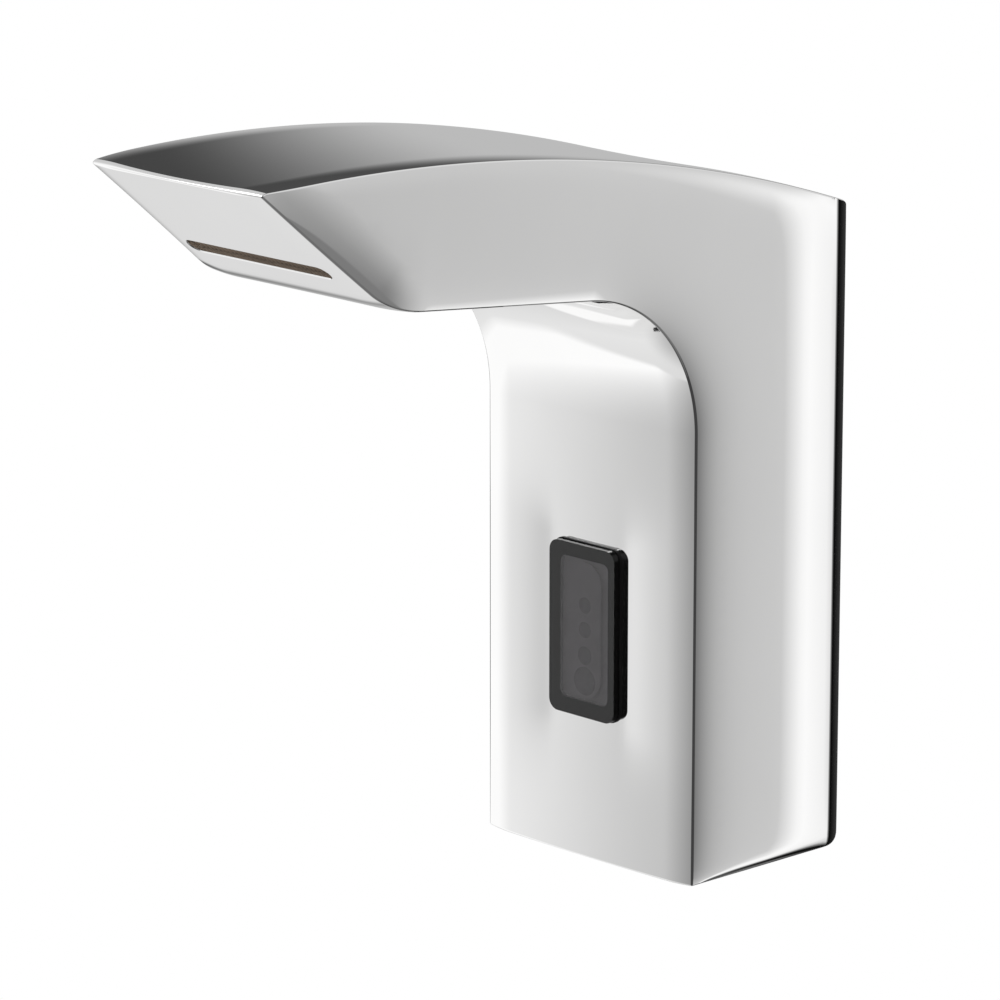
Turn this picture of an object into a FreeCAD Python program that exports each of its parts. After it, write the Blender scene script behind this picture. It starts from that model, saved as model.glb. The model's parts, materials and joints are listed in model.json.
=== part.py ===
import FreeCAD, Part
import math
import os
import re

import Sketcher

# A wall-mounted sensor tap.  Millimetres, +Z up, the wall is the plane y = 0 and the spout points to -Y.
# The origin is the centre of the water inlet where it leaves the wall.

Vector = FreeCAD.Vector

# name of each driving size, its value and what it measures
SIZES = [
    # chrome casting, outside
    ("overall_height", 203.04, "underside to the crest of the top"),
    ("inlet_height", 118.0, "underside to the centre of the water inlet"),
    ("body_depth", 64.0, "wall to the middle of the front face"),
    ("spout_reach", 205.8, "wall to the upper end of the nose face"),
    ("tip_width", 67.6, "width across the tip"),
    ("body_width", 78.6, "width across the front face"),
    ("rear_width", 81.2, "width at the wall"),
    ("tip_drop", 1.34, "crest of the top down to the upper end of the nose face"),
    ("tip_facet", 2.5, "depth of the small facet that ends the top surface"),
    ("top_radius", 513.4, "arch of the top surface"),
    ("crest_setback", 30.6, "upper end of the nose face back to the crest of the arch"),
    ("nose_angle", 39.9, "slope of the nose face, degrees below level"),
    ("nose_length", 44.7, "straight length of the nose face"),
    ("chin_radius", 26.0, "rounding from the nose face to the underside of the spout"),
    ("underside_angle", 5.67, "slope of the underside of the spout, degrees"),
    ("throat_radius", 40.8, "hollow between the spout and the front face"),
    ("crown_radius", 361.0, "bow of the front face, seen from above"),
    ("rear_round", 11.0, "rounding of the edges next to the wall"),
    # chrome casting, inside
    ("wall", 3.0, "wall of the casting"),
    ("gasket_thickness", 1.5, "rubber sheet between the casting and the wall"),
    ("opening_width", 54.0, "hole in the back of the casting"),
    ("opening_low", 13.5, "underside to the hole in the back"),
    ("opening_drop", 10.22, "top of the casting at the wall down to the hole in the back"),
    ("opening_round", 4.0, "corners of the hole in the back"),
    ("part_play", 0.4, "free space round a piece that is slipped into place"),
    # waterfall outlet
    ("slot_width", 50.0, "mouth in the nose face, end to end"),
    ("slot_gap", 4.2, "height of the mouth"),
    ("slot_offset", 36.5, "upper end of the nose face to the middle of the mouth"),
    ("seal_thickness", 0.8, "rubber ring between the nozzle and the nose face"),
    ("seal_rim", 2.2, "breadth of that ring"),
    ("nozzle_wall", 1.8, "wall of the nozzle"),
    ("nozzle_setback", 11.8, "upper end of the nose face back to the front of the nozzle"),
    ("nozzle_length", 38.0, "front of the nozzle to its back"),
    ("hose_drop", 26.24, "crest of the top down to the level run of the hose"),
    ("hose_outside", 12.0, "outer diameter of the hose"),
    ("hose_inside", 8.4, "bore of the hose"),
    ("hose_bend", 30.0, "bend of the hose"),
    ("tail_length", 12.0, "spigot that the hose is pushed on"),
    ("tail_bore", 5.6, "bore of the spigots"),
    ("clip_thickness", 0.8, "band of the hose clips"),
    ("clip_width", 6.0, "width of the hose clips"),
    # fixing to the wall
    ("screw_spread", 40.0, "wall screws, side to side"),
    ("screw_low", 66.0, "underside to the lower wall screws"),
    ("screw_drop", 14.0, "top of the hole in the back down to the upper wall screws"),
    ("screw_thread", 4.5, "thread of the wall screws"),
    ("screw_shank", 5.2, "shank of the wall screws"),
    ("screw_head", 9.0, "head of the wall screws"),
    ("screw_head_height", 3.0, "height of that head"),
    ("screw_length", 9.5, "thread that goes into the inserts of the wall"),
    ("shelf_height", 15.0, "underside to the shelf of the wall plate"),
    ("shelf_thickness", 2.0, "sheet of the shelf and of the hook"),
    ("shelf_depth", 26.0, "how far the shelf stands out from the plate"),
    ("hook_width", 24.0, "hook that the casting hangs on"),
    ("hook_overlap", 3.0, "how far the hook reaches past the opening"),
    ("grub_thread", 5.0, "thread of the two set screws underneath"),
    ("grub_spread", 32.0, "set screws, side to side"),
    ("grub_distance", 16.0, "wall to the set screws"),
    ("grub_recess", 0.8, "how far the set screws sit inside the underside"),
    ("grub_key", 2.5, "socket in the set screws"),
    ("boss_height", 5.0, "bosses for the set screws"),
    # water inlet
    ("inlet_thread", 20.955, "outside of the G 1/2 thread"),
    ("inlet_length", 20.0, "thread beyond the wall face"),
    ("inlet_neck", 19.0, "neck of the nipple in the wall plate"),
    ("inlet_bore", 14.0, "bore of the nipple"),
    ("flange_width", 26.0, "flange of the nipple"),
    ("flange_thickness", 4.0, "thickness of that flange"),
    ("spigot_length", 4.0, "end of the nipple inside the valve"),
    ("spigot_play", 0.2, "gap round that end"),
    ("groove_depth", 1.2, "groove for the sealing ring"),
    ("groove_width", 2.0, "width of that groove"),
    # check valve
    ("check_seat", 8.0, "hole that the poppet closes"),
    ("check_seat_place", 2.5, "wall to the seat of the check valve"),
    ("check_chamber", 12.6, "room round the poppet"),
    ("poppet_width", 10.8, "head of the poppet"),
    ("poppet_head", 2.5, "thickness of that head"),
    ("poppet_stem", 3.0, "stem of the poppet"),
    ("poppet_travel", 2.0, "how far the poppet opens"),
    ("washer_thickness", 0.8, "rubber washer of the poppet"),
    ("washer_hole", 6.0, "hole of that washer"),
    ("stem_play", 0.05, "gap round the stem"),
    ("check_spring_rest", 3.0, "length of the poppet's spring when fully open"),
    ("check_wire", 0.6, "wire of that spring"),
    ("check_guide", 7.0, "from the seat to the end of the cartridge"),
    ("guide_thickness", 2.0, "web that guides the stem"),
    ("strainer_length", 6.5, "strainer in the mouth of the nipple"),
    ("strainer_wall", 0.8, "wall of the strainer"),
    ("strainer_slot", 1.6, "slots of the strainer"),
    # solenoid valve
    ("valve_width", 32.0, "valve block, side to side"),
    ("valve_depth", 36.0, "valve block, front to back"),
    ("valve_rise", 10.0, "inlet centre to the top of the block"),
    ("seat_drop", 14.0, "inlet centre to the valve seat"),
    ("valve_bore", 18.0, "inlet bore of the block"),
    ("ring_outside", 25.0, "ring channel round the seat"),
    ("ring_height", 10.0, "height of that channel"),
    ("seat_width", 13.0, "outside of the seat"),
    ("ear_reach", 8.0, "lugs that fix the block to the plate"),
    ("ear_height", 10.0, "height of those lugs"),
    ("ear_thickness", 5.0, "thickness of those lugs"),
    ("ear_screw", 3.8, "thread of the screws in those lugs"),
    ("membrane_width", 29.0, "rubber diaphragm"),
    ("membrane_thickness", 1.5, "thickness of the diaphragm"),
    ("pilot_hole", 1.6, "pilot hole of the diaphragm"),
    ("core_width", 16.0, "stiff disc under the diaphragm"),
    ("core_height", 3.5, "thickness of that disc"),
    ("core_travel", 1.44, "how far the diaphragm opens"),
    ("bonnet_height", 8.0, "flange of the valve bonnet"),
    ("bonnet_floor", 0.4, "spare depth under the open disc"),
    ("tube_outside", 12.0, "guide tube of the bonnet"),
    ("tube_floor", 2.0, "closed end of the guide tube"),
    ("tube_length", 26.0, "guide tube below the bonnet's flange"),
    ("bonnet_screw", 2.9, "thread of the bonnet's screws"),
    ("bonnet_screw_length", 14.0, "length of those screws under the head"),
    ("plunger_width", 8.0, "iron plunger"),
    ("plunger_play", 0.08, "gap between the plunger and its tube"),
    ("plunger_travel", 2.4, "how far the plunger moves"),
    ("plunger_spare", 1.6, "gap left under the open plunger"),
    ("tip_seal_width", 4.4, "rubber tip of the plunger"),
    ("tip_seal_proud", 1.2, "how far that tip stands out"),
    ("tip_seal_depth", 1.0, "how deep that tip is set"),
    ("plunger_spring_depth", 6.0, "spring pocket in the plunger"),
    ("coil_width", 26.0, "coil"),
    ("coil_height", 17.5, "height of the coil"),
    ("terminal_width", 12.0, "block for the coil's lead, side to side"),
    ("terminal_height", 8.0, "height of that block"),
    ("terminal_proud", 1.5, "how far that block stands out in front of the coil"),
    ("hub_width", 16.0, "collar between the bonnet and the coil"),
    ("hub_height", 3.0, "height of that collar"),
    ("yoke_sheet", 1.5, "iron sheet round the coil"),
    ("yoke_width", 16.0, "width of that sheet"),
    ("yoke_play", 1.0, "gap between the coil and the sheet's sides"),
    ("nut_width", 18.0, "cap nut that holds the coil"),
    ("nut_height", 6.0, "height of that nut"),
    ("magnet_width", 11.0, "latching magnet"),
    ("magnet_height", 1.5, "height of that magnet"),
    ("regulator_height", 3.0, "flow regulator"),
    ("regulator_hole", 1.3, "holes of the flow regulator"),
    # sensor window
    ("sensor_height", 62.3, "underside to the middle of the sensor window"),
    ("bezel_width", 24.4, "black frame, side to side"),
    ("bezel_height", 47.3, "black frame, bottom to top"),
    ("bezel_round", 3.4, "corners of the frame"),
    ("bezel_proud", 1.2, "how far the window stands out of the front face"),
    ("bezel_play", 0.1, "gap between the frame and the casting"),
    ("lens_thickness", 2.0, "smoked window"),
    ("lens_margin", 0.3, "step between the window's edge and its frame"),
    ("seat_depth", 0.5, "flat seat inside the front wall"),
    ("flange_lip", 2.8, "flange behind the front wall"),
    ("bezel_flange", 2.0, "thickness of that flange"),
    ("carrier_width", 17.4, "plate that holds the diodes, side to side"),
    ("carrier_height", 38.6, "height of that plate"),
    ("carrier_round", 2.0, "corners of that plate"),
    ("carrier_thickness", 3.0, "thickness of that plate"),
    ("carrier_ridge", 1.0, "window to that plate, where its long oval rises towards the window"),
    ("ridge_width", 11.6, "width of that oval"),
    ("ridge_height", 37.0, "height of that oval"),
    ("emitter_width", 4.4, "infrared emitters"),
    ("emitter_high", 6.8, "upper emitter above the middle"),
    ("emitter_low", 0.1, "lower emitter above the middle"),
    ("detector_width", 5.0, "near detector"),
    ("detector_drop", 6.9, "near detector below the middle"),
    ("receiver_width", 7.8, "receiver lens"),
    ("receiver_drop", 13.9, "receiver lens below the middle"),
    ("diode_inset", 0.3, "how deep the diodes sit"),
    ("board_thickness", 1.6, "circuit boards"),
    ("case_wall", 1.5, "walls of the plastic cases"),
    ("case_depth", 10.0, "rear cap of the sensor"),
    ("clamp_sheet", 1.5, "sheet of the sensor's clamp"),
    ("clamp_height", 68.2, "height of the clamp"),
    ("clamp_screw_reach", 30.4, "middle of the window to the clamp's screws"),
    ("clamp_boss", 7.0, "bosses for the clamp"),
    ("small_screw", 2.8, "thread of the small screws"),
    ("small_head", 5.4, "head of the small screws"),
    ("small_head_height", 1.8, "height of that head"),
    ("small_grip", 3.0, "thread of the clamp's screws in the casting"),
    # electronics
    ("control_width", 44.0, "control case, side to side"),
    ("control_height", 50.0, "height of the control case"),
    ("control_drop", 20.0, "inlet centre to the bottom of the control case"),
    ("control_depth", 10.0, "depth of the control case"),
    ("board_standoff", 4.0, "floor of the control case to its board"),
    ("control_screw_spread", 24.0, "screws of the control case"),
    ("control_screw_rise", 4.0, "height of those screws over the inlet"),
    ("control_screw_grip", 6.0, "thread of those screws in the block"),
    ("battery_width", 35.0, "6 V lithium battery, side to side"),
    ("battery_depth", 19.5, "front to back"),
    ("battery_height", 36.0, "height of the battery"),
    ("battery_round", 3.0, "corners of the battery"),
    ("contact_height", 2.0, "contact springs over the battery"),
    ("contact_width", 7.0, "width of the contacts"),
    ("contact_spread", 17.0, "contacts, side to side"),
    ("cable_width", 3.0, "leads inside the body"),
    ("cable_bend", 7.0, "bends of those leads"),
]

document = FreeCAD.newDocument("sensor_tap")
sheet = document.addObject("Spreadsheet::Sheet", "sizes")
NAMES = set()
NODES = {}


def write_sizes():
    for row, (name, value, meaning) in enumerate(SIZES, start=1):
        sheet.set("A%d" % row, meaning)
        sheet.set("B%d" % row, str(value))
        sheet.setAlias("B%d" % row, name)
        NAMES.add(name)
    document.recompute()


def scoped(expression):
    """The same expression with each size's name pointing into the sheet."""
    def with_sheet(word):
        return "sizes." + word.group() if word.group() in NAMES else word.group()

    return re.sub(r"[a-z_]+", with_sheet, expression)


def number(expression):
    return float(sheet.evalExpression(scoped(expression)))


def bind(target, prop, expression):
    target.setExpression(prop, scoped(expression))


def place(target, x, y, z):
    for axis, expression in zip("xyz", (x, y, z)):
        bind(target, "Placement.Base." + axis, expression)


def node(name, piece):
    """Makes a finished piece one of the named sub-parts."""
    piece.Label = name
    NODES[name] = piece
    return piece


# ---------------------------------------------------------------- simple solids

TURN = {
    "x": FreeCAD.Rotation(Vector(0, 1, 0), 90),
    "y": FreeCAD.Rotation(Vector(1, 0, 0), -90),
    "z": FreeCAD.Rotation(),
}
PLANES = {"xy": "XY_Plane", "xz": "XZ_Plane", "yz": "YZ_Plane"}


def box(name, x, y, z):
    """A block between two limits on each axis."""
    block = document.addObject("Part::Box", name)
    for prop, (low, high) in zip(("Length", "Width", "Height"), (x, y, z)):
        bind(block, prop, "(%s) - (%s)" % (high, low))
    place(block, x[0], y[0], z[0])
    return block


def rod(name, axis, centre, low, high, diameter):
    """A round rod along an axis; centre gives its place on the two other axes."""
    bar = document.addObject("Part::Cylinder", name)
    bar.Placement = FreeCAD.Placement(Vector(), TURN[axis])
    bind(bar, "Radius", "(%s) / 2" % diameter)
    bind(bar, "Height", "(%s) - (%s)" % (high, low))
    start = list(centre)
    start.insert("xyz".index(axis), low)
    place(bar, *start)
    return bar


def torus(name, axis, centre, ring, section):
    """A sealing ring: ring is the diameter of its centre line, section that of the cord."""
    loop = document.addObject("Part::Torus", name)
    loop.Placement = FreeCAD.Placement(Vector(), TURN[axis])
    bind(loop, "Radius1", "(%s) / 2" % ring)
    bind(loop, "Radius2", "(%s) / 2" % section)
    place(loop, *centre)
    return loop


def join(name, *pieces):
    whole = document.addObject("Part::MultiFuse", name)
    whole.Shapes = list(pieces)
    whole.Refine = True
    return whole


def cut(name, base, *tools):
    result = document.addObject("Part::Cut", name)
    result.Base = base
    result.Tool = tools[0] if len(tools) == 1 else join(name + "_tools", *tools)
    result.Refine = True
    return result


def overlap_of(name, *pieces):
    result = document.addObject("Part::MultiCommon", name)
    result.Shapes = list(pieces)
    result.Refine = True
    return result


def group(name, *pieces):
    """Several equal pieces that share one node."""
    several = document.addObject("Part::Compound", name)
    several.Links = list(pieces)
    return several


# ---------------------------------------------------------------- sketched solids


def new_sketch(body, name, plane, offset):
    """A sketch on one of the body's own planes, moved along its normal by an expression."""
    sketch = body.newObject("Sketcher::SketchObject", name)
    support = [feature for feature in body.Origin.OriginFeatures if feature.Role == PLANES[plane]][0]
    sketch.AttachmentSupport = (support, "")
    sketch.MapMode = "FlatFace"
    if offset != "0":
        bind(sketch, "AttachmentOffset.Base.z", offset)
    return sketch


def pin_point(sketch, geometry, end, label, u, v):
    """Ties one point of a sketch to two expressions."""
    for kind, axis, expression in (("DistanceX", "u", u), ("DistanceY", "v", v)):
        index = sketch.addConstraint(Sketcher.Constraint(kind, -1, 1, geometry, end, number(expression)))
        sketch.renameConstraint(index, "%s_%s" % (label, axis))
        bind(sketch, "Constraints.%s_%s" % (label, axis), expression)


def draw_polygon(sketch, corners):
    points = [Vector(number(u), number(v), 0) for u, v in corners]
    for start, end in zip(points, points[1:] + points[:1]):
        sketch.addGeometry(Part.LineSegment(start, end), False)
    last = len(corners) - 1
    for index, (u, v) in enumerate(corners):
        sketch.addConstraint(Sketcher.Constraint("Coincident", index - 1 if index else last, 2, index, 1))
        pin_point(sketch, index, 1, "corner_%d" % index, u, v)


def draw_circle(sketch, u, v, diameter):
    centre = Vector(number(u), number(v), 0)
    radius = "(%s) / 2" % diameter
    circle = sketch.addGeometry(Part.Circle(centre, Vector(0, 0, 1), number(radius)), False)
    pin_point(sketch, circle, 3, "centre", u, v)
    index = sketch.addConstraint(Sketcher.Constraint("Radius", circle, number(radius)))
    sketch.renameConstraint(index, "radius")
    bind(sketch, "Constraints.radius", radius)


def round_long_edges(body, pad, direction, radius):
    """Rounds the edges of a pad that run along its own direction."""
    document.recompute()
    names = []
    for index, edge in enumerate(pad.Shape.Edges, start=1):
        straight = edge.Curve.TypeId == "Part::GeomLine"
        if straight and abs(edge.tangentAt(edge.FirstParameter).dot(direction)) > 0.999:
            names.append("Edge%d" % index)
    fillet = body.newObject("PartDesign::Fillet", body.Name + "_corners")
    fillet.Base = (pad, names)
    bind(fillet, "Radius", radius)


def prism(name, plane, corners, low, high, corner_radius=None):
    """A straight-sided piece: an outline with its corners given, padded between two limits."""
    body = document.addObject("PartDesign::Body", name)
    start = "-(%s)" % high if plane == "xz" else low
    sketch = new_sketch(body, name + "_outline", plane, start)
    draw_polygon(sketch, corners)
    pad = body.newObject("PartDesign::Pad", name + "_pad")
    pad.Profile = sketch
    bind(pad, "Length", "(%s) - (%s)" % (high, low))
    if corner_radius:
        direction = {"xy": Vector(0, 0, 1), "xz": Vector(0, 1, 0), "yz": Vector(1, 0, 0)}[plane]
        round_long_edges(body, pad, direction, corner_radius)
    return body


def slab(name, width, z, y, corner_radius=None):
    """An upright plate, centred on x = 0, with rounded corners."""
    left, right = "-(%s) / 2" % width, "(%s) / 2" % width
    corners = [(left, z[0]), (right, z[0]), (right, z[1]), (left, z[1])]
    return prism(name, "xz", corners, y[0], y[1], corner_radius)


def turned(name, axis, profile, centre=("0", "0")):
    """A turned piece.  The profile's corners are (diameter, place along the axis)."""
    body = document.addObject("PartDesign::Body", name)
    sketch = new_sketch(body, name + "_profile", {"z": "xz", "y": "xy"}[axis], "0")
    draw_polygon(sketch, [("(%s) / 2" % diameter, along) for diameter, along in profile])
    turning = body.newObject("PartDesign::Revolution", name + "_turning")
    turning.Profile = sketch
    turning.ReferenceAxis = (sketch, ["V_Axis"])
    turning.Angle = 360
    start = list(centre)
    start.insert("xyz".index(axis), "0")
    place(body, *start)
    return body


def screw(name, axis, centre, tip, head_base, head_top, thread, head):
    """A screw with a flat round head; a negative direction along the axis is fine."""
    profile = [
        ("0", tip), (thread, tip), (thread, head_base), (head, head_base), (head, head_top), ("0", head_top),
    ]
    return turned(name, axis, profile, centre)


def spring(name, axis, centre, low, high, mean, wire, turns):
    """A compression spring between two planes."""
    body = document.addObject("PartDesign::Body", name)
    sketch = new_sketch(body, name + "_wire", {"z": "xz", "y": "xy"}[axis], "0")
    draw_circle(sketch, "(%s) / 2" % mean, "%s + (%s) / 2" % (low, wire), wire)
    helix = body.newObject("PartDesign::AdditiveHelix", name + "_turns")
    helix.Profile = sketch
    helix.ReferenceAxis = (sketch, ["V_Axis"])
    helix.Mode = 0
    height = "(%s) - (%s) - (%s)" % (high, low, wire)
    bind(helix, "Height", height)
    bind(helix, "Pitch", "(%s) / %s" % (height, turns))
    start = list(centre)
    start.insert("xyz".index(axis), "0")
    place(body, *start)
    return body


def bent_rod(points, radius, bend):
    """A round rod along straight runs that are joined by arcs."""
    edges = []
    start = points[0]
    for before, corner, after in zip(points, points[1:], points[2:]):
        back, ahead = (before - corner).normalize(), (after - corner).normalize()
        half = back.getAngle(ahead) / 2
        reach = bend / math.tan(half)
        centre = corner + (back + ahead).normalize() * (bend / math.sin(half))
        first, last = corner + back * reach, corner + ahead * reach
        middle = centre + (corner - centre).normalize() * bend
        if (first - start).Length > 1e-6:
            edges.append(Part.LineSegment(start, first).toShape())
        edges.append(Part.Arc(first, middle, last).toShape())
        start = last
    if (points[-1] - start).Length > 1e-6:
        edges.append(Part.LineSegment(start, points[-1]).toShape())
    route = Part.Wire(edges)
    section = Part.Wire(Part.Circle(points[0], points[1] - points[0], radius).toShape())
    return route.makePipeShell([section], True, True)


def lead(name, corners):
    """A lead inside the body, on straight runs and arcs."""
    points = [Vector(*[number(value) for value in corner]) for corner in corners]
    cable = document.addObject("Part::Feature", name)
    cable.Shape = bent_rod(points, number("cable_width") / 2, number("cable_bend"))
    return cable


# ---------------------------------------------------------------- places that several pieces share

BOTTOM = "(-inlet_height)"
PLATE_FRONT = "(-gasket_thickness - wall)"
REAR_FACE = "(-gasket_thickness)"
OPENING_BASE = "(opening_low - inlet_height)"
REAR_ARCH = "sqrt(top_radius ^ 2 - (spout_reach - crest_setback) ^ 2)"
OPENING_TOP = "(overall_height - top_radius + %s - opening_drop - inlet_height)" % REAR_ARCH
SEAT_LEVEL = "(-seat_drop)"
VALVE_Y = "(-gasket_thickness - wall - valve_depth / 2)"
VALVE_FRONT = "(-gasket_thickness - wall - valve_depth)"
VALVE_TOP = "valve_rise"
TAIL_OUTSIDE = "hose_inside"
TIP_Z = "(overall_height - tip_drop - inlet_height)"
CREST_Y = "(crest_setback - spout_reach)"
NOZZLE_FRONT = "(nozzle_setback - spout_reach)"
NOZZLE_END = "(nozzle_setback + nozzle_length - spout_reach)"
HOSE_LEVEL = "(overall_height - hose_drop - inlet_height)"
SENSOR_Z = "(sensor_height - inlet_height)"
SEAT_Y = "(wall - body_depth - seat_depth)"
FLANGE_Y = "(wall - body_depth - seat_depth + seal_thickness)"
CLAMP_Y = "(wall - body_depth - seat_depth + seal_thickness + bezel_flange)"
LENS_FRONT = "(-body_depth - bezel_proud)"
LENS_BACK = "(lens_thickness - body_depth - bezel_proud)"
CARRIER_BACK = "(lens_thickness - body_depth - bezel_proud + carrier_ridge + carrier_thickness)"
BOARD_BACK = "(%s + board_thickness)" % CARRIER_BACK


def past(expression, extra):
    """A limit with a little added, for a tool that has to cut right through."""
    return "(%s) + (%s)" % (expression, extra)


# ---------------------------------------------------------------- chrome casting


def side_profile():
    """Side view of the casting.  The back stays open-ended behind the wall plane."""
    angle = math.radians(number("nose_angle"))
    fall = math.radians(number("underside_angle"))
    base, front, rear = number(BOTTOM), -number("body_depth"), number("rear_round")
    chin, throat, arch = number("chin_radius"), number("throat_radius"), number("top_radius")
    crest_y, crest_z = number(CREST_Y), number("overall_height - inlet_height")

    def on_arch(y):
        return Vector(y, crest_z - arch + math.sqrt(arch ** 2 - (y - crest_y) ** 2), 0)

    tip = Vector(-number("spout_reach"), number(TIP_Z), 0)
    top_end = on_arch(tip.x + number("tip_facet"))
    nose_end = tip + Vector(math.cos(angle), -math.sin(angle), 0) * number("nose_length")
    chin_centre = nose_end + Vector(math.sin(angle), math.cos(angle), 0) * chin
    under_start = chin_centre - Vector(math.sin(fall), math.cos(fall), 0) * chin
    throat_y = front - throat
    throat_z = under_start.y - math.tan(fall) * (throat_y - under_start.x) - throat / math.cos(fall)
    under_end = Vector(throat_y + throat * math.sin(fall), throat_z + throat * math.cos(fall), 0)
    front_top = Vector(front, throat_z, 0)
    corners = {
        "front": Vector(front, base, 0),
        "rear": Vector(rear, base, 0),
        "rear_top": on_arch(rear),
    }

    sketch = document.addObject("Sketcher::SketchObject", "side_profile")
    sketch.Placement = FreeCAD.Placement(Vector(), FreeCAD.Rotation(Vector(1, 1, 1), 120))

    def arc(centre, radius, start, end):
        """Counter-clockwise from start to end."""
        first = math.atan2(start.y - centre.y, start.x - centre.x)
        last = math.atan2(end.y - centre.y, end.x - centre.x)
        circle = Part.Circle(centre, Vector(0, 0, 1), radius)
        return sketch.addGeometry(Part.ArcOfCircle(circle, first, last), False)

    def line(start, end):
        return sketch.addGeometry(Part.LineSegment(start, end), False)

    bottom = line(corners["front"], corners["rear"])
    back = line(corners["rear"], corners["rear_top"])
    top = arc(Vector(crest_y, crest_z - arch, 0), arch, corners["rear_top"], top_end)
    facet = line(top_end, tip)
    nose = line(tip, nose_end)
    rounding = arc(chin_centre, chin, nose_end, under_start)
    under = line(under_start, under_end)
    hollow = arc(Vector(throat_y, throat_z, 0), throat, front_top, under_end)
    face = line(front_top, corners["front"])

    def tie(kind, *where):
        return sketch.addConstraint(Sketcher.Constraint(kind, *where))

    def size(name, kind, *where):
        expression = where[-1]
        index = sketch.addConstraint(Sketcher.Constraint(kind, *where[:-1], number(expression)))
        sketch.renameConstraint(index, name)
        bind(sketch, "Constraints." + name, expression)

    for first, end, second, start in (
        (bottom, 2, back, 1), (back, 2, top, 1), (top, 2, facet, 1), (facet, 2, nose, 1),
        (face, 2, bottom, 1),
    ):
        tie("Coincident", first, end, second, start)
    for first, end, second, start in (
        (nose, 2, rounding, 1), (rounding, 2, under, 1), (under, 2, hollow, 2), (hollow, 1, face, 1),
    ):
        tie("Tangent", first, end, second, start)
    tie("Horizontal", bottom)
    tie("Vertical", back)
    tie("Vertical", face)
    pin_point(sketch, bottom, 1, "front_foot", "-body_depth", BOTTOM)
    size("rear_end", "DistanceX", -1, 1, bottom, 2, "rear_round")
    pin_point(
        sketch, top, 3, "arch_centre", CREST_Y, "overall_height - inlet_height - top_radius",
    )
    size("arch", "Radius", top, "top_radius")
    pin_point(sketch, nose, 1, "tip", "-spout_reach", TIP_Z)
    size("facet_depth", "DistanceX", facet, 2, facet, 1, "tip_facet")
    size("nose_run", "DistanceX", nose, 1, nose, 2, "nose_length * cos(nose_angle * 1deg)")
    size("nose_fall", "DistanceY", nose, 2, nose, 1, "nose_length * sin(nose_angle * 1deg)")
    size("chin", "Radius", rounding, "chin_radius")
    size("under_fall", "Angle", -1, 1, under, 1, "-underside_angle * 1deg")
    size("throat", "Radius", hollow, "throat_radius")
    return sketch


def plan_outline():
    """The casting seen from above; its front end lies a little beyond the tip."""
    margin = "rear_round"
    taper = "(body_width - tip_width) / 2 / (spout_reach - body_depth)"
    half_tip = "(tip_width / 2 - %s * %s)" % (taper, margin)
    front = "(-spout_reach - %s)" % margin
    sketch = document.addObject("Sketcher::SketchObject", "plan_outline")
    right = [(half_tip, front), ("body_width / 2", "-body_depth"), ("rear_width / 2", REAR_FACE)]
    left = [("-" + u, v) for u, v in reversed(right)]
    draw_polygon(sketch, right + left)
    return sketch


def inset(name, sketch, distance):
    """The same outline, drawn in by a distance."""
    outline = document.addObject("Part::Offset2D", name)
    outline.Source = sketch
    bind(outline, "Value", "-(%s)" % distance)
    return outline


def bowed_form(name, profile, plan):
    """The side view swept about an axis far behind the wall, which bows the front, and cut to the plan."""
    bowed = document.addObject("Part::Revolution", name + "_bow")
    bowed.Source = profile
    bowed.Axis = Vector(0, 0, 1)
    bind(bowed, "Base.y", "crown_radius - body_depth")
    bowed.Angle = 26
    bowed.Symmetric = True
    bowed.Solid = True
    upright = document.addObject("Part::Extrusion", name + "_plan")
    upright.Base = plan
    upright.DirMode = "Custom"
    upright.Dir = Vector(0, 0, 1)
    bind(upright, "LengthFwd", "overall_height")
    bind(upright, "LengthRev", "inlet_height + rear_round")
    upright.Solid = True
    return overlap_of(name, bowed, upright)


def rounded_form(name, form, radius, level):
    """Rounds the edges that lie in the plane y = level."""
    body = document.addObject("PartDesign::Body", name)
    body.BaseFeature = form
    document.recompute()
    base = body.Tip
    names = []
    for index, edge in enumerate(base.Shape.Edges, start=1):
        limits = edge.BoundBox
        if max(abs(limits.YMin - number(level)), abs(limits.YMax - number(level))) < 1e-3:
            names.append("Edge%d" % index)
    fillet = body.newObject("PartDesign::Fillet", name + "_rear_edges")
    fillet.Base = (base, names)
    bind(fillet, "Radius", radius)
    document.recompute()
    return body


def nose_piece(piece):
    """Turns a piece from a level frame into that of the nose face, at the middle of the mouth."""
    piece.Placement = FreeCAD.Placement(Vector(), FreeCAD.Rotation(Vector(-1, 0, 0), number("nose_angle")))
    bind(piece, "Placement.Rotation.Angle", "nose_angle")
    along = "slot_offset"
    place(
        piece,
        "0",
        "-spout_reach + %s * cos(nose_angle * 1deg)" % along,
        "%s - %s * sin(nose_angle * 1deg)" % (TIP_Z, along),
    )
    return piece


def slot_prism(name, width, height, depth):
    """A long oval through the nose face, with its axis square to that face."""
    left, right = "-(%s) / 2" % width, "(%s) / 2" % width
    low, high = "-(%s) / 2" % height, "(%s) / 2" % height
    oval = prism(
        name, "xy", [(left, low), (right, low), (right, high), (left, high)], "-wall", depth,
        "0.499 * (%s)" % height,
    )
    return nose_piece(oval)


def window_frame(name, extra, y):
    """The outline of the sensor's black frame, made wider by extra on every side."""
    z = (
        "%s - bezel_height / 2 - (%s)" % (SENSOR_Z, extra),
        "%s + bezel_height / 2 + (%s)" % (SENSOR_Z, extra),
    )
    return slab(name, "bezel_width + 2 * (%s)" % extra, z, y, "bezel_round + (%s)" % extra)


def carrier_frame(name, extra, y):
    """The outline of the plate behind the window, made wider by extra on every side."""
    z = (
        "%s - carrier_height / 2 - (%s)" % (SENSOR_Z, extra),
        "%s + carrier_height / 2 + (%s)" % (SENSOR_Z, extra),
    )
    return slab(name, "carrier_width + 2 * (%s)" % extra, z, y, "carrier_round + (%s)" % extra)


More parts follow.
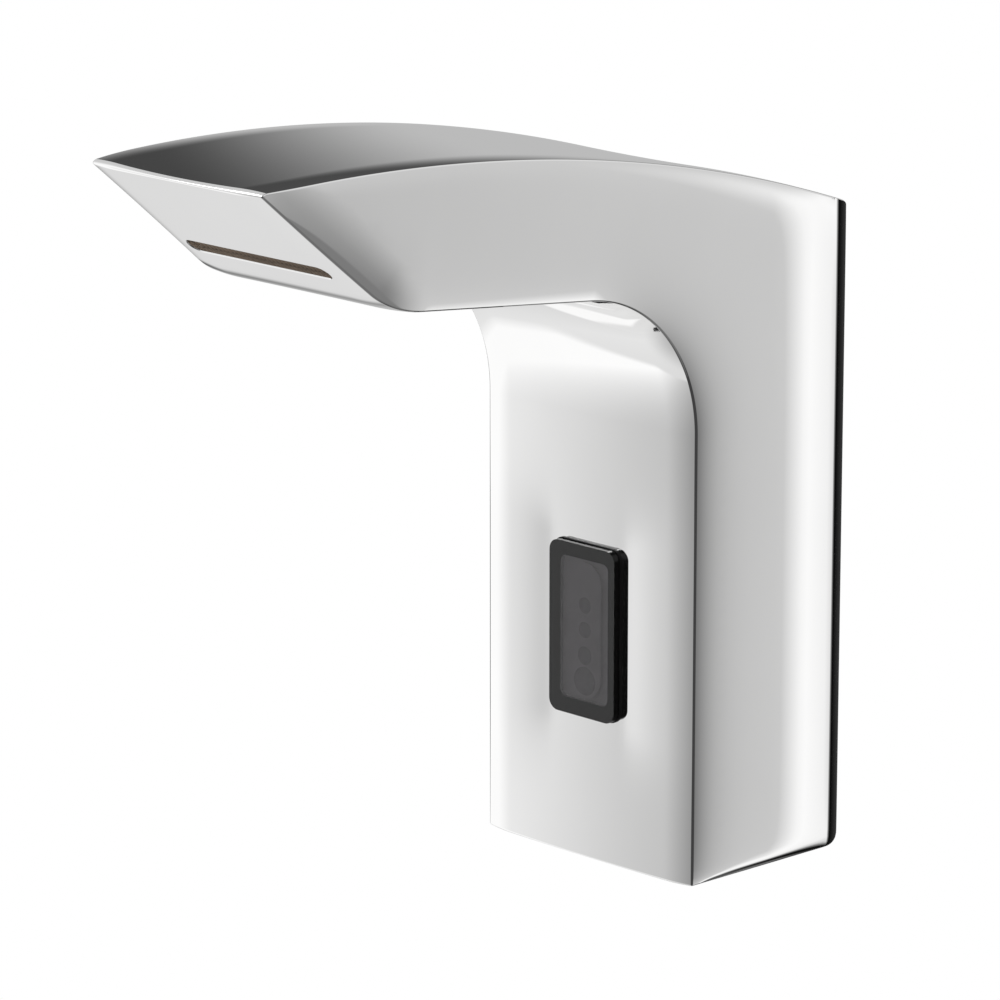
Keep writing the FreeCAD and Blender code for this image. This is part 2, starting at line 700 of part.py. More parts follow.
def clamp_places():
    return [("0", "%s %s clamp_screw_reach" % (SENSOR_Z, sign)) for sign in "-+"]


def grub_places():
    return [("%sgrub_spread / 2" % sign, "-grub_distance") for sign in "-+"]


def make_casting(forms):
    outer = rounded_form("casting_outside", forms["outer"], "rear_round", REAR_FACE)
    cavity = rounded_form("casting_inside", forms["cavity"], "rear_round - wall", PLATE_FRONT)
    opening = slab(
        "rear_opening", "opening_width", (OPENING_BASE, OPENING_TOP),
        (past(PLATE_FRONT, "-part_play"), past(REAR_FACE, "wall")), "opening_round",
    )
    slot = slot_prism("mouth", "slot_width", "slot_gap", "wall * 3")
    window = window_frame("window_hole", "bezel_play", ("-body_depth - wall", past(SEAT_Y, "wall")))
    seat = window_frame(
        "window_seat", "flange_lip + part_play", (SEAT_Y, past(SEAT_Y, "bezel_flange + wall")),
    )
    shell = cut("casting_shell", outer, cavity, opening, slot, window, seat)
    solid, holes = [shell], []
    for index, centre in enumerate(clamp_places()):
        solid.append(
            rod("clamp_boss_%d" % index, "y", centre, past(SEAT_Y, "-seat_depth"), CLAMP_Y, "clamp_boss")
        )
        holes.append(
            rod("clamp_hole_%d" % index, "y", centre, "%s - small_grip" % CLAMP_Y, CLAMP_Y, "small_screw")
        )
    for index, centre in enumerate(grub_places()):
        top = "%s + wall + boss_height" % BOTTOM
        solid.append(
            rod("grub_boss_%d" % index, "z", centre, "%s + wall / 2" % BOTTOM, top, "grub_thread * 2")
        )
        holes.append(rod("grub_hole_%d" % index, "z", centre, "%s - wall" % BOTTOM, top, "grub_thread"))
    return node("spout_body", cut("spout_casting", join("casting_bosses", *solid), *holes))


def make_grub_screws():
    """Set screws from below that press on the wall plate's shelf."""
    screws = []
    for index, centre in enumerate(grub_places()):
        low, high = "%s + grub_recess" % BOTTOM, "%s + shelf_height" % BOTTOM
        key = "grub_key"
        profile = [
            ("0", "%s + %s" % (low, key)), (key, "%s + %s" % (low, key)), (key, low),
            ("grub_thread", low), ("grub_thread", high), ("0", high),
        ]
        screws.append(turned("grub_screw_%d" % index, "z", profile, centre))
    return node("grub_screws", group("grub_screw_pair", *screws))


# ---------------------------------------------------------------- outlet


def make_outlet(forms):
    room = box(
        "nozzle_room", ("-tip_width / 2", "tip_width / 2"), (NOZZLE_FRONT, NOZZLE_END),
        ("0", "overall_height - inlet_height"),
    )
    blank = overlap_of("nozzle_blank", forms["nozzle"], room)
    tail = rod(
        "nozzle_tail", "y", ("0", HOSE_LEVEL), past(NOZZLE_END, "-nozzle_wall"), past(NOZZLE_END, "tail_length"),
        TAIL_OUTSIDE,
    )
    chamber_room = box(
        "chamber_room", ("-tip_width / 2", "tip_width / 2"),
        (past(NOZZLE_FRONT, "nozzle_wall"), past(NOZZLE_END, "-nozzle_wall")),
        ("0", "overall_height - inlet_height"),
    )
    chamber = overlap_of("nozzle_chamber", forms["chamber"], chamber_room)
    bore = rod(
        "nozzle_bore", "y", ("0", HOSE_LEVEL), past(NOZZLE_END, "-2 * nozzle_wall"),
        past(NOZZLE_END, "tail_length + wall"), "tail_bore",
    )
    channel = slot_prism(
        "nozzle_channel", "slot_width", "slot_gap", "wall + seal_thickness + nozzle_wall * 2",
    )
    node("outlet_nozzle", cut("nozzle", join("nozzle_solid", blank, tail), chamber, bore, channel))

    rim = slot_prism(
        "seal_outline", "slot_width + 2 * seal_rim", "slot_gap + 2 * seal_rim", "wall + seal_thickness * 3",
    )
    hole = slot_prism("seal_hole", "slot_width", "slot_gap", "wall * 3")
    gap = cut("nozzle_gap", forms["cavity"], forms["nozzle"])
    node("nozzle_seal", cut("nozzle_ring", overlap_of("seal_ring", gap, rim), hole))

    spigot_z, level, bend = number(VALVE_TOP), number(HOSE_LEVEL), number("hose_bend")
    start, turn = number(VALVE_Y), number(NOZZLE_END)
    route = [Vector(0, start, spigot_z), Vector(0, start, level), Vector(0, turn, level)]
    hose = document.addObject("Part::Feature", "hose")
    outside = bent_rod(route, number("hose_outside") / 2, bend)
    hose.Shape = outside.cut(bent_rod(route, number("hose_inside") / 2, bend))
    node("outlet_hose", hose)

    clips = []
    ring = [("hose_outside + 2 * clip_thickness", "0"), ("hose_outside", "0")]
    for label, axis, centre, low in (
        ("lower", "z", ("0", VALVE_Y), "%s + clip_width / 2" % VALVE_TOP),
        ("upper", "y", ("0", HOSE_LEVEL), past(NOZZLE_END, "clip_width / 2")),
    ):
        high = "(%s) + clip_width" % low
        profile = [(ring[1][0], low), (ring[0][0], low), (ring[0][0], high), (ring[1][0], high)]
        clips.append(turned("clip_" + label, axis, profile, centre))
    node("hose_clips", group("hose_clip_pair", *clips))


# ---------------------------------------------------------------- wall plate and its screws


def wall_screw_places():
    heights = ("screw_low - inlet_height", "%s - screw_drop" % OPENING_TOP)
    return [("%sscrew_spread / 2" % side, height) for side in "-+" for height in heights]


def ear_places():
    return [("%s(valve_width / 2 + ear_reach / 2)" % sign, "0") for sign in "-+"]


def make_wall_fixing():
    neck_hole = ("inlet_neck + part_play", "inlet_thread + 8 * part_play")
    sheet_z = ("%s + rear_round" % BOTTOM, "%s + opening_low - rear_round" % OPENING_TOP)
    gasket = slab("gasket_sheet", "rear_width - 2 * rear_round", sheet_z, (REAR_FACE, "0"), "opening_round")
    gasket_holes = [rod("gasket_bore", "y", ("0", "0"), past(REAR_FACE, "-wall"), "wall", neck_hole[1])]
    plate_z = (past(OPENING_BASE, "part_play"), past(OPENING_TOP, "-part_play"))
    plate = slab(
        "plate_sheet", "opening_width - 2 * part_play", plate_z, (PLATE_FRONT, REAR_FACE), "opening_round",
    )
    shelf_base = "%s + shelf_height" % BOTTOM
    shelf = box(
        "plate_shelf", ("-grub_spread / 2 - grub_thread", "grub_spread / 2 + grub_thread"),
        ("%s - shelf_depth" % PLATE_FRONT, past(PLATE_FRONT, "wall / 2")),
        (shelf_base, "%s + shelf_thickness" % shelf_base),
    )
    hook = box(
        "plate_hook", ("-hook_width / 2", "hook_width / 2"),
        ("%s - shelf_thickness" % PLATE_FRONT, PLATE_FRONT),
        ("%s - 3 * hook_overlap" % OPENING_TOP, "%s + hook_overlap" % OPENING_TOP),
    )
    plate_holes = [rod("plate_bore", "y", ("0", "0"), past(PLATE_FRONT, "-wall"), "wall", neck_hole[0])]
    screws = []
    for index, centre in enumerate(wall_screw_places()):
        clear = "screw_shank + 2 * part_play"
        gasket_holes.append(
            rod("gasket_hole_%d" % index, "y", centre, past(REAR_FACE, "-wall"), "wall", clear)
        )
        plate_holes.append(
            rod("plate_hole_%d" % index, "y", centre, past(PLATE_FRONT, "-wall"), "wall", clear)
        )
        head_top = "%s - screw_head_height" % PLATE_FRONT
        profile = [
            ("0", head_top), ("screw_head", head_top), ("screw_head", PLATE_FRONT),
            ("screw_shank", PLATE_FRONT),
            ("screw_shank", "0"), ("screw_thread", "0"), ("screw_thread", "screw_length"),
            ("0", "screw_length + screw_thread / 2"),
        ]
        screws.append(turned("wall_screw_%d" % index, "y", profile, centre))
    for index, centre in enumerate(ear_places()):
        plate_holes.append(rod("ear_thread_%d" % index, "y", centre, PLATE_FRONT, REAR_FACE, "ear_screw"))
    node("wall_gasket", cut("gasket", gasket, *gasket_holes))
    node("wall_plate", cut("plate", join("plate_solid", plate, shelf, hook), *plate_holes))
    node("wall_screws", group("wall_screw_set", *screws))


# ---------------------------------------------------------------- inlet

FLANGE_FRONT = "(-gasket_thickness - wall - flange_thickness)"
SPIGOT_END = "(-gasket_thickness - wall - flange_thickness - spigot_length)"
SPIGOT_WIDTH = "(valve_bore - 2 * spigot_play)"
CHECK_STOP = "(check_seat_place - poppet_head - poppet_travel - check_spring_rest)"
CARTRIDGE_FRONT = "(check_seat_place - poppet_head - poppet_travel - check_spring_rest - case_wall)"
CHECK_SEAT_Y = "check_seat_place"


def make_nipple():
    profile = [
        ("inlet_bore", SPIGOT_END), (SPIGOT_WIDTH, SPIGOT_END), (SPIGOT_WIDTH, FLANGE_FRONT),
        ("flange_width", FLANGE_FRONT), ("flange_width", PLATE_FRONT), ("inlet_neck", PLATE_FRONT),
        ("inlet_neck", REAR_FACE), ("inlet_thread", REAR_FACE), ("inlet_thread", "inlet_length - wall / 2"),
        ("inlet_thread - wall", "inlet_length"), ("inlet_bore", "inlet_length"),
    ]
    blank = turned("nipple_blank", "y", profile)
    middle = "(%s + spigot_length / 2)" % SPIGOT_END
    floor = "(%s - 2 * groove_depth)" % SPIGOT_WIDTH
    low, high = "%s - groove_width / 2" % middle, "%s + groove_width / 2" % middle
    groove = turned(
        "nipple_groove", "y", [(floor, low), ("flange_width", low), ("flange_width", high), (floor, high)],
    )
    node("inlet_nipple", cut("nipple", blank, groove))
    section = "((valve_bore - %s) / 2)" % floor
    node(
        "inlet_o_ring",
        torus("inlet_ring", "y", ("0", middle, "0"), "(valve_bore + %s) / 2" % floor, section),
    )


def make_strainer():
    """A slotted cup in the mouth of the nipple."""
    base, rim = "(inlet_length - strainer_length)", "inlet_length"
    cup, inner = "(inlet_bore - 2 * strainer_wall)", "(inlet_bore - 4 * strainer_wall)"
    flange = "(inlet_length - strainer_wall * 2)"
    profile = [
        ("0", base), (cup, base), (cup, flange), ("inlet_bore", flange), ("inlet_bore", rim),
        (inner, rim), (inner, "%s + strainer_wall" % base), ("0", "%s + strainer_wall" % base),
    ]
    blank = turned("strainer_blank", "y", profile)
    half = "strainer_slot / 2"
    slots = []
    for index in range(3):
        bar = box(
            "strainer_slot_%d" % index, ("-inlet_bore", "inlet_bore"),
            ("%s + strainer_wall * 2" % base, "%s - strainer_wall" % flange), ("-" + half, half),
        )
        slots.append(spoke("strainer_turn_%d" % index, bar, 60 * index))
    node("inlet_strainer", cut("strainer", blank, *slots))


def spoke(name, piece, degrees):
    """A piece turned about the inlet's axis."""
    turned_piece = document.addObject("Part::Compound", name)
    turned_piece.Links = [piece]
    turned_piece.Placement = FreeCAD.Placement(Vector(), FreeCAD.Rotation(Vector(0, 1, 0), degrees))
    return turned_piece


def make_check_valve():
    """A cartridge with a poppet that opens away from the wall and is closed by its spring."""
    end = "(%s + check_guide)" % CHECK_SEAT_Y
    web = "(%s - guide_thickness)" % end
    hole = "(poppet_stem + 2 * stem_play)"
    seat_depth = "(%s + case_wall)" % CHECK_SEAT_Y
    rear_room = "(inlet_bore - 4 * strainer_wall)"
    profile = [
        ("check_chamber", CARTRIDGE_FRONT), ("inlet_bore", CARTRIDGE_FRONT), ("inlet_bore", end),
        (hole, end),
        (hole, web), (rear_room, web), (rear_room, seat_depth), ("check_seat", seat_depth),
        ("check_seat", CHECK_SEAT_Y), ("check_chamber", CHECK_SEAT_Y),
    ]
    blank = turned("cartridge_blank", "y", profile)
    ports = []
    for index in range(6):
        port = rod(
            "guide_port_%d" % index, "y", ("(%s + %s) / 4" % (hole, rear_room), "0"),
            past(web, "-stem_play"),
            past(end, "stem_play"), "(%s - %s) / 3" % (rear_room, hole),
        )
        ports.append(spoke("guide_turn_%d" % index, port, 60 * index))
    node("check_valve_body", cut("cartridge", blank, *ports))

    front = "(%s - poppet_head)" % CHECK_SEAT_Y
    washer_base = "(%s - washer_thickness)" % CHECK_SEAT_Y
    profile = [
        ("0", front), ("poppet_width", front), ("poppet_width", washer_base), ("washer_hole", washer_base),
        ("washer_hole", CHECK_SEAT_Y), ("poppet_stem", CHECK_SEAT_Y), ("poppet_stem", end), ("0", end),
    ]
    node("check_valve_poppet", turned("poppet", "y", profile))
    washer = [
        ("washer_hole", washer_base), ("poppet_width", washer_base),
        ("poppet_width", CHECK_SEAT_Y), ("washer_hole", CHECK_SEAT_Y),
    ]
    node("check_valve_washer", turned("poppet_washer", "y", washer))
    clip = [
        ("poppet_stem * 2", CARTRIDGE_FRONT), ("check_chamber", CARTRIDGE_FRONT),
        ("check_chamber", CHECK_STOP), ("poppet_stem * 2", CHECK_STOP),
    ]
    node("check_valve_retainer", turned("retainer", "y", clip))
    coil = spring("check_coil", "y", ("0", "0"), CHECK_STOP, front, "poppet_stem * 3", "check_wire", "3")
    node("check_valve_spring", coil)


# ---------------------------------------------------------------- solenoid valve

MEMBRANE_LOW = "(-seat_drop - membrane_thickness)"
CORE_LOW = "(-seat_drop - membrane_thickness - core_height)"
ROOM_LOW = "(-seat_drop - membrane_thickness - core_height - core_travel - bonnet_floor)"
BONNET_LOW = "(-seat_drop - bonnet_height)"
TUBE_END = "(-seat_drop - bonnet_height - tube_length)"
TUBE_FLOOR = "(-seat_drop - bonnet_height - tube_length + tube_floor)"
TUBE_BORE = "(plunger_width + 2 * plunger_play)"
COIL_TOP = "(-seat_drop - bonnet_height - hub_height - yoke_sheet)"
COIL_LOW = "(-seat_drop - bonnet_height - hub_height - yoke_sheet - coil_height)"
COIL_FRONT = "(-gasket_thickness - wall - valve_depth / 2 - coil_width / 2 - terminal_proud)"
NUT_TOP = "(-seat_drop - bonnet_height - hub_height - 2 * yoke_sheet - coil_height)"
VALVE_X = ("-valve_width / 2", "valve_width / 2")
VALVE_DEPTHS = (VALVE_FRONT, PLATE_FRONT)
ON_VALVE = ("0", VALVE_Y)


def bonnet_screw_places():
    reach = "(membrane_width / 2 - bonnet_screw / 2)"
    return [
        ("%s%s" % (side, reach), "%s %s %s" % (VALVE_Y, depth, reach))
        for side in "-+" for depth in "-+"
    ]


def control_screw_places():
    return [("%scontrol_screw_spread / 2" % sign, "control_screw_rise") for sign in "-+"]


def make_valve_block():
    block = box("block", VALVE_X, VALVE_DEPTHS, (SEAT_LEVEL, VALVE_TOP))
    spigot = rod("block_spigot", "z", ON_VALVE, VALVE_TOP, "%s + tail_length" % VALVE_TOP, TAIL_OUTSIDE)
    ears = [
        box(
            "block_ears", ("-valve_width / 2 - ear_reach", "valve_width / 2 + ear_reach"),
            ("%s - ear_thickness" % PLATE_FRONT, PLATE_FRONT), ("-ear_height / 2", "ear_height / 2"),
        )
    ]
    channel = turned(
        "ring_channel", "z",
        [
            ("seat_width", past(SEAT_LEVEL, "-wall")), ("ring_outside", past(SEAT_LEVEL, "-wall")),
            ("ring_outside", "%s + ring_height" % SEAT_LEVEL),
            ("seat_width", "%s + ring_height" % SEAT_LEVEL),
        ],
        ON_VALVE,
    )
    counterbore = rod(
        "flange_seat", "y", ("0", "0"), FLANGE_FRONT, past(PLATE_FRONT, "wall"), "flange_width",
    )
    inlet = rod(
        "block_inlet", "y", ("0", "0"), "%s + ring_outside / 2 - wall" % VALVE_Y, PLATE_FRONT, "valve_bore",
    )
    seat_bore = rod(
        "seat_bore", "z", ON_VALVE, past(SEAT_LEVEL, "-wall"), "%s + tail_length + wall" % VALVE_TOP,
        "tail_bore",
    )
    regulator_seat = rod(
        "regulator_seat", "z", ON_VALVE, "%s + tail_length - regulator_height" % VALVE_TOP,
        "%s + tail_length + wall" % VALVE_TOP, "tail_bore + case_wall / 2",
    )
    holes = [channel, counterbore, inlet, seat_bore, regulator_seat]
    for index, centre in enumerate(ear_places()):
        clear = "ear_screw + part_play"
        holes.append(
            rod(
                "ear_hole_%d" % index, "y", centre, "%s - ear_thickness * 2" % PLATE_FRONT,
                past(PLATE_FRONT, "wall"), clear,
            )
        )
    for index, centre in enumerate(control_screw_places()):
        deep = "%s + control_screw_grip" % VALVE_FRONT
        holes.append(rod("control_thread_%d" % index, "y", centre, VALVE_FRONT, deep, "small_screw"))
    for index, centre in enumerate(bonnet_screw_places()):
        top = "%s + bonnet_screw_length" % BONNET_LOW
        holes.append(rod("bonnet_thread_%d" % index, "z", centre, SEAT_LEVEL, top, "bonnet_screw"))
    node("valve_body", cut("valve_block", join("block_solid", block, spigot, *ears), *holes))

    disc = rod(
        "regulator_disc", "z", ON_VALVE, "%s + tail_length - regulator_height" % VALVE_TOP,
        "%s + tail_length" % VALVE_TOP, "tail_bore + case_wall / 2",
    )
    jets = []
    for index in range(5):
        angle = 72 * index
        centre = (
            "tail_bore / 4 * cos(%d deg)" % angle,
            "%s + tail_bore / 4 * sin(%d deg)" % (VALVE_Y, angle),
        )
        jets.append(
            rod(
                "jet_%d" % index, "z", centre, VALVE_TOP, "%s + 2 * tail_length" % VALVE_TOP,
                "regulator_hole",
            )
        )
    node("flow_regulator", cut("regulator", disc, *jets))

    screws = []
    for index, centre in enumerate(ear_places()):
        base = "%s - ear_thickness" % PLATE_FRONT
        top = "%s - ear_screw * 0.6" % base
        screws.append(
            screw("ear_screw_%d" % index, "y", centre, REAR_FACE, base, top, "ear_screw", "ear_screw * 1.9")
        )
    node("valve_screws", group("valve_screw_pair", *screws))


def make_diaphragm():
    profile = [
        ("pilot_hole", MEMBRANE_LOW), ("membrane_width", MEMBRANE_LOW),
        ("membrane_width", SEAT_LEVEL), ("pilot_hole", SEAT_LEVEL),
    ]
    node("diaphragm", turned("membrane", "z", profile, ON_VALVE))
    profile = [
        ("pilot_hole", CORE_LOW), ("core_width", CORE_LOW), ("core_width", MEMBRANE_LOW),
        ("pilot_hole", MEMBRANE_LOW),
    ]
    node("diaphragm_core", turned("core", "z", profile, ON_VALVE))


def make_bonnet():
    flange = box("bonnet_flange", VALVE_X, VALVE_DEPTHS, (BONNET_LOW, SEAT_LEVEL))
    hub = rod(
        "bonnet_hub", "z", ON_VALVE, "%s - hub_height" % BONNET_LOW, past(BONNET_LOW, "bonnet_floor"),
        "hub_width",
    )
    tube = rod("bonnet_tube", "z", ON_VALVE, TUBE_END, past(BONNET_LOW, "bonnet_floor"), "tube_outside")
    room = [
        rod("membrane_room", "z", ON_VALVE, MEMBRANE_LOW, past(SEAT_LEVEL, "wall"), "membrane_width"),
        rod("core_room", "z", ON_VALVE, ROOM_LOW, past(SEAT_LEVEL, "wall"), "core_width + 2 * yoke_play"),
        rod("tube_bore", "z", ON_VALVE, TUBE_FLOOR, past(SEAT_LEVEL, "wall"), TUBE_BORE),
    ]
    screws = []
    for index, centre in enumerate(bonnet_screw_places()):
        clear = "bonnet_screw + part_play"
        room.append(
            rod(
                "bonnet_hole_%d" % index, "z", centre, past(BONNET_LOW, "-wall"), past(SEAT_LEVEL, "wall"),
                clear,
            )
        )
        top = "%s + bonnet_screw_length" % BONNET_LOW
        head = "%s - small_head_height" % BONNET_LOW
        screws.append(
            screw("bonnet_screw_%d" % index, "z", centre, top, BONNET_LOW, head, "bonnet_screw", "small_head")
        )
    node("valve_bonnet", cut("bonnet", join("bonnet_solid", flange, hub, tube), *room))
    node("bonnet_screws", group("bonnet_screw_set", *screws))


def make_plunger():
    top = "(%s - tip_seal_proud)" % CORE_LOW
    base = "(%s + plunger_travel + plunger_spare)" % TUBE_FLOOR
    pocket = "(%s + plunger_spring_depth)" % base
    bore = "(plunger_width * 0.7)"
    seal_base = "(%s - tip_seal_depth)" % top
    profile = [
        ("0", pocket), (bore, pocket), (bore, base), ("plunger_width", base), ("plunger_width", top),
        ("tip_seal_width", top), ("tip_seal_width", seal_base), ("0", seal_base),
    ]
    node("plunger", turned("iron", "z", profile, ON_VALVE))
    node("plunger_seal", rod("rubber_tip", "z", ON_VALVE, seal_base, CORE_LOW, "tip_seal_width"))
    wire = "(plunger_width / 14)"
    node(
        "plunger_spring",
        spring("plunger_coil", "z", ON_VALVE, TUBE_FLOOR, pocket, "(%s - 2 * %s)" % (bore, wire), wire, "6"),
    )


def make_coil():
    outline = [
        ("tube_outside", COIL_LOW), ("coil_width", COIL_LOW), ("coil_width", COIL_TOP),
        ("tube_outside", COIL_TOP),
    ]
    winding = turned("winding", "z", outline, ON_VALVE)
    terminal = box(
        "coil_terminal", ("-terminal_width / 2", "terminal_width / 2"),
        (COIL_FRONT, "%s + coil_width / 4" % COIL_FRONT), ("%s - terminal_height" % COIL_TOP, COIL_TOP),
    )
    bore = rod("coil_bore", "z", ON_VALVE, past(COIL_LOW, "-wall"), past(COIL_TOP, "wall"), "tube_outside")
    node("solenoid_coil", cut("coil", join("coil_solid", winding, terminal), bore))
    side = "(coil_width / 2 + yoke_play + yoke_sheet)"
    depths = ("%s - yoke_width / 2" % VALVE_Y, "%s + yoke_width / 2" % VALVE_Y)
    frame = box("yoke_frame", ("-" + side, side), depths, (NUT_TOP, past(COIL_TOP, "yoke_sheet")))
    inner = "(coil_width / 2 + yoke_play)"
    open_depths = ("%s - yoke_width" % VALVE_Y, "%s + yoke_width" % VALVE_Y)
    window = box("yoke_window", ("-" + inner, inner), open_depths, (COIL_LOW, COIL_TOP))
    hole = rod("yoke_hole", "z", ON_VALVE, past(NUT_TOP, "-wall"), past(COIL_TOP, "wall"), "tube_outside")
    node("coil_yoke", cut("yoke", frame, window, hole))
    end = "(%s - nut_height)" % NUT_TOP
    magnet_base = "(%s - magnet_height)" % TUBE_END
    nut_profile = [
        ("0", end), ("nut_width", end), ("nut_width", NUT_TOP), ("tube_outside", NUT_TOP),
        ("tube_outside", magnet_base), ("0", magnet_base),
    ]
    node("coil_nut", turned("nut", "z", nut_profile, ON_VALVE))
    node("latch_magnet", rod("magnet", "z", ON_VALVE, magnet_base, TUBE_END, "magnet_width"))


# ---------------------------------------------------------------- sensor


def diode(name, width, height_offset):
    """A diode with a round body that fills its hole in the carrier plate."""
    centre = ("0", "%s + (%s)" % (SENSOR_Z, height_offset))
    return rod(name + "_barrel", "y", centre, past(LENS_BACK, "diode_inset"), CARRIER_BACK, width)


def make_sensor():
    frame = window_frame("bezel_front", "0", (LENS_BACK, past(FLANGE_Y, "bezel_flange / 2")))
    flange = window_frame("bezel_back", "flange_lip", (FLANGE_Y, CLAMP_Y))
    through = carrier_frame("carrier_room", "0", (past(LENS_BACK, "-wall"), past(CLAMP_Y, "wall")))
    node("sensor_bezel", cut("bezel", join("bezel_solid", frame, flange), through))
    node("sensor_lens", window_frame("lens", "-lens_margin", (LENS_FRONT, LENS_BACK)))

    seal = window_frame("seal_sheet", "flange_lip", (SEAT_Y, FLANGE_Y))
    seal_hole = window_frame("seal_opening", "0", (past(SEAT_Y, "-wall"), past(FLANGE_Y, "wall")))
    node("sensor_seal", cut("window_seal", seal, seal_hole))

    plate_front = past(LENS_BACK, "carrier_ridge")
    plate = carrier_frame("carrier_plate", "0", (plate_front, CARRIER_BACK))
    z = ("%s - ridge_height / 2" % SENSOR_Z, "%s + ridge_height / 2" % SENSOR_Z)
    ridge = slab(
        "carrier_oval", "ridge_width", z,
        (past(LENS_BACK, "lens_margin"), past(plate_front, "carrier_thickness / 2")), "0.499 * ridge_width",
    )
    places = [
        ("emitter_upper", "emitter_width", "emitter_high"),
        ("emitter_lower", "emitter_width", "emitter_low"),
        ("detector", "detector_width", "-detector_drop"),
        ("receiver", "receiver_width", "-receiver_drop"),
    ]
    holes, parts = [], {}
    for name, width, offset in places:
        centre = ("0", "%s + (%s)" % (SENSOR_Z, offset))
        holes.append(
            rod(name + "_hole", "y", centre, past(LENS_BACK, "-wall"), past(CARRIER_BACK, "wall"), width)
        )
        parts[name] = diode(name, width, offset)
    node("sensor_carrier", cut("carrier", join("carrier_solid", plate, ridge), *holes))
    node("ir_emitters", group("emitter_pair", parts["emitter_upper"], parts["emitter_lower"]))
    node("near_detector", parts["detector"])
    node("ir_receiver", parts["receiver"])

    node("sensor_board", carrier_frame("sensor_circuit", "0", (CARRIER_BACK, BOARD_BACK)))
    cap_end = "(%s + case_depth)" % CLAMP_Y
    cap = carrier_frame("cap_outside", "case_wall", (CLAMP_Y, cap_end))
    cap_room = carrier_frame("cap_inside", "0", (past(CLAMP_Y, "-wall"), past(cap_end, "-case_wall")))
    node("sensor_case", cut("sensor_cap", cap, cap_room))

    clamp_z = ("%s - clamp_height / 2" % SENSOR_Z, "%s + clamp_height / 2" % SENSOR_Z)
    clamp_back = "(%s + clamp_sheet)" % CLAMP_Y
    clamp = slab(
        "clamp_sheet_metal", "bezel_width + 2 * flange_lip", clamp_z, (CLAMP_Y, clamp_back), "bezel_round",
    )
    clamp_reach = (past(CLAMP_Y, "-wall"), past(clamp_back, "wall"))
    clamp_holes = [carrier_frame("clamp_window", "case_wall + bezel_play", clamp_reach)]
    screws = []
    for index, centre in enumerate(clamp_places()):
        clear = "small_screw + part_play"
        clamp_holes.append(
            rod("clamp_bore_%d" % index, "y", centre, past(CLAMP_Y, "-wall"), past(clamp_back, "wall"), clear)
        )
        tip, head_top = "%s - small_grip" % CLAMP_Y, "%s + small_head_height" % clamp_back
        screws.append(
            screw(
                "clamp_screw_%d" % index, "y", centre, tip, clamp_back, head_top, "small_screw", "small_head",
            )
        )
    node("sensor_clamp", cut("clamp", clamp, *clamp_holes))
    node("sensor_screws", group("sensor_screw_pair", *screws))


# ---------------------------------------------------------------- electronics

CONTROL_LOW = "(-control_drop)"
CONTROL_TOP = "(control_height - control_drop)"
CONTROL_FRONT = "(-gasket_thickness - wall - valve_depth - control_depth)"
CASE_FLOOR = "(-gasket_thickness - wall - valve_depth - case_wall)"
BOX_BASE = "(shelf_height + shelf_thickness - inlet_height)"
BOX_TOP = "(shelf_height + shelf_thickness - inlet_height + battery_height + contact_height + 2 * case_wall)"
BOX_FRONT = "(-gasket_thickness - wall - 2 * case_wall - battery_depth)"
BOX_WIDTH = "(battery_width + 2 * part_play + 2 * case_wall)"


def make_control_unit():
    """Case on the front of the valve, with its board and cover."""
    case = slab(
        "control_outside", "control_width", (CONTROL_LOW, CONTROL_TOP), (CONTROL_FRONT, VALVE_FRONT),
        "case_wall",
    )
    room_z = (past(CONTROL_LOW, "case_wall"), past(CONTROL_TOP, "-case_wall"))
    inner = "(control_width - 2 * case_wall)"
    room = slab(
        "control_inside", inner, room_z, (past(CONTROL_FRONT, "-wall"), CASE_FLOOR), "case_wall / 2",
    )
    board_back = "(%s - board_standoff)" % CASE_FLOOR
    board = slab(
        "control_circuit", inner, room_z, ("%s - board_thickness" % board_back, board_back), "case_wall / 2",
    )
    case_holes, board_holes, screws = [room], [], []
    for index, centre in enumerate(control_screw_places()):
        clear = "small_screw + part_play"
        case_holes.append(
            rod(
                "control_hole_%d" % index, "y", centre, past(CASE_FLOOR, "-stem_play"),
                past(VALVE_FRONT, "wall"), clear,
            )
        )
        tip = "%s + control_screw_grip" % VALVE_FRONT
        head_top = "%s - small_head_height" % CASE_FLOOR
        screws.append(
            screw(
                "control_screw_%d" % index, "y", centre, tip, CASE_FLOOR, head_top, "small_screw", "small_head",
            )
        )
        board_holes.append(
            rod(
                "board_hole_%d" % index, "y", centre, past(CONTROL_FRONT, "-wall"),
                past(CASE_FLOOR, "wall"), "small_head + part_play",
            )
        )
    node("control_case", cut("control_box", case, *case_holes))
    node("control_board", cut("control_card", board, *board_holes))
    node("control_screws", group("control_screw_pair", *screws))
    lid_front = "(%s - case_wall)" % CONTROL_FRONT
    lid = slab(
        "lid_plate", "control_width", (CONTROL_LOW, CONTROL_TOP), (lid_front, CONTROL_FRONT), "case_wall",
    )
    lip = slab(
        "lid_lip", "%s - 2 * part_play" % inner,
        (past(room_z[0], "part_play"), past(room_z[1], "-part_play")),
        (CONTROL_FRONT, past(CONTROL_FRONT, "case_wall")), "case_wall / 2",
    )
    node("control_cover", join("control_lid", lid, lip))


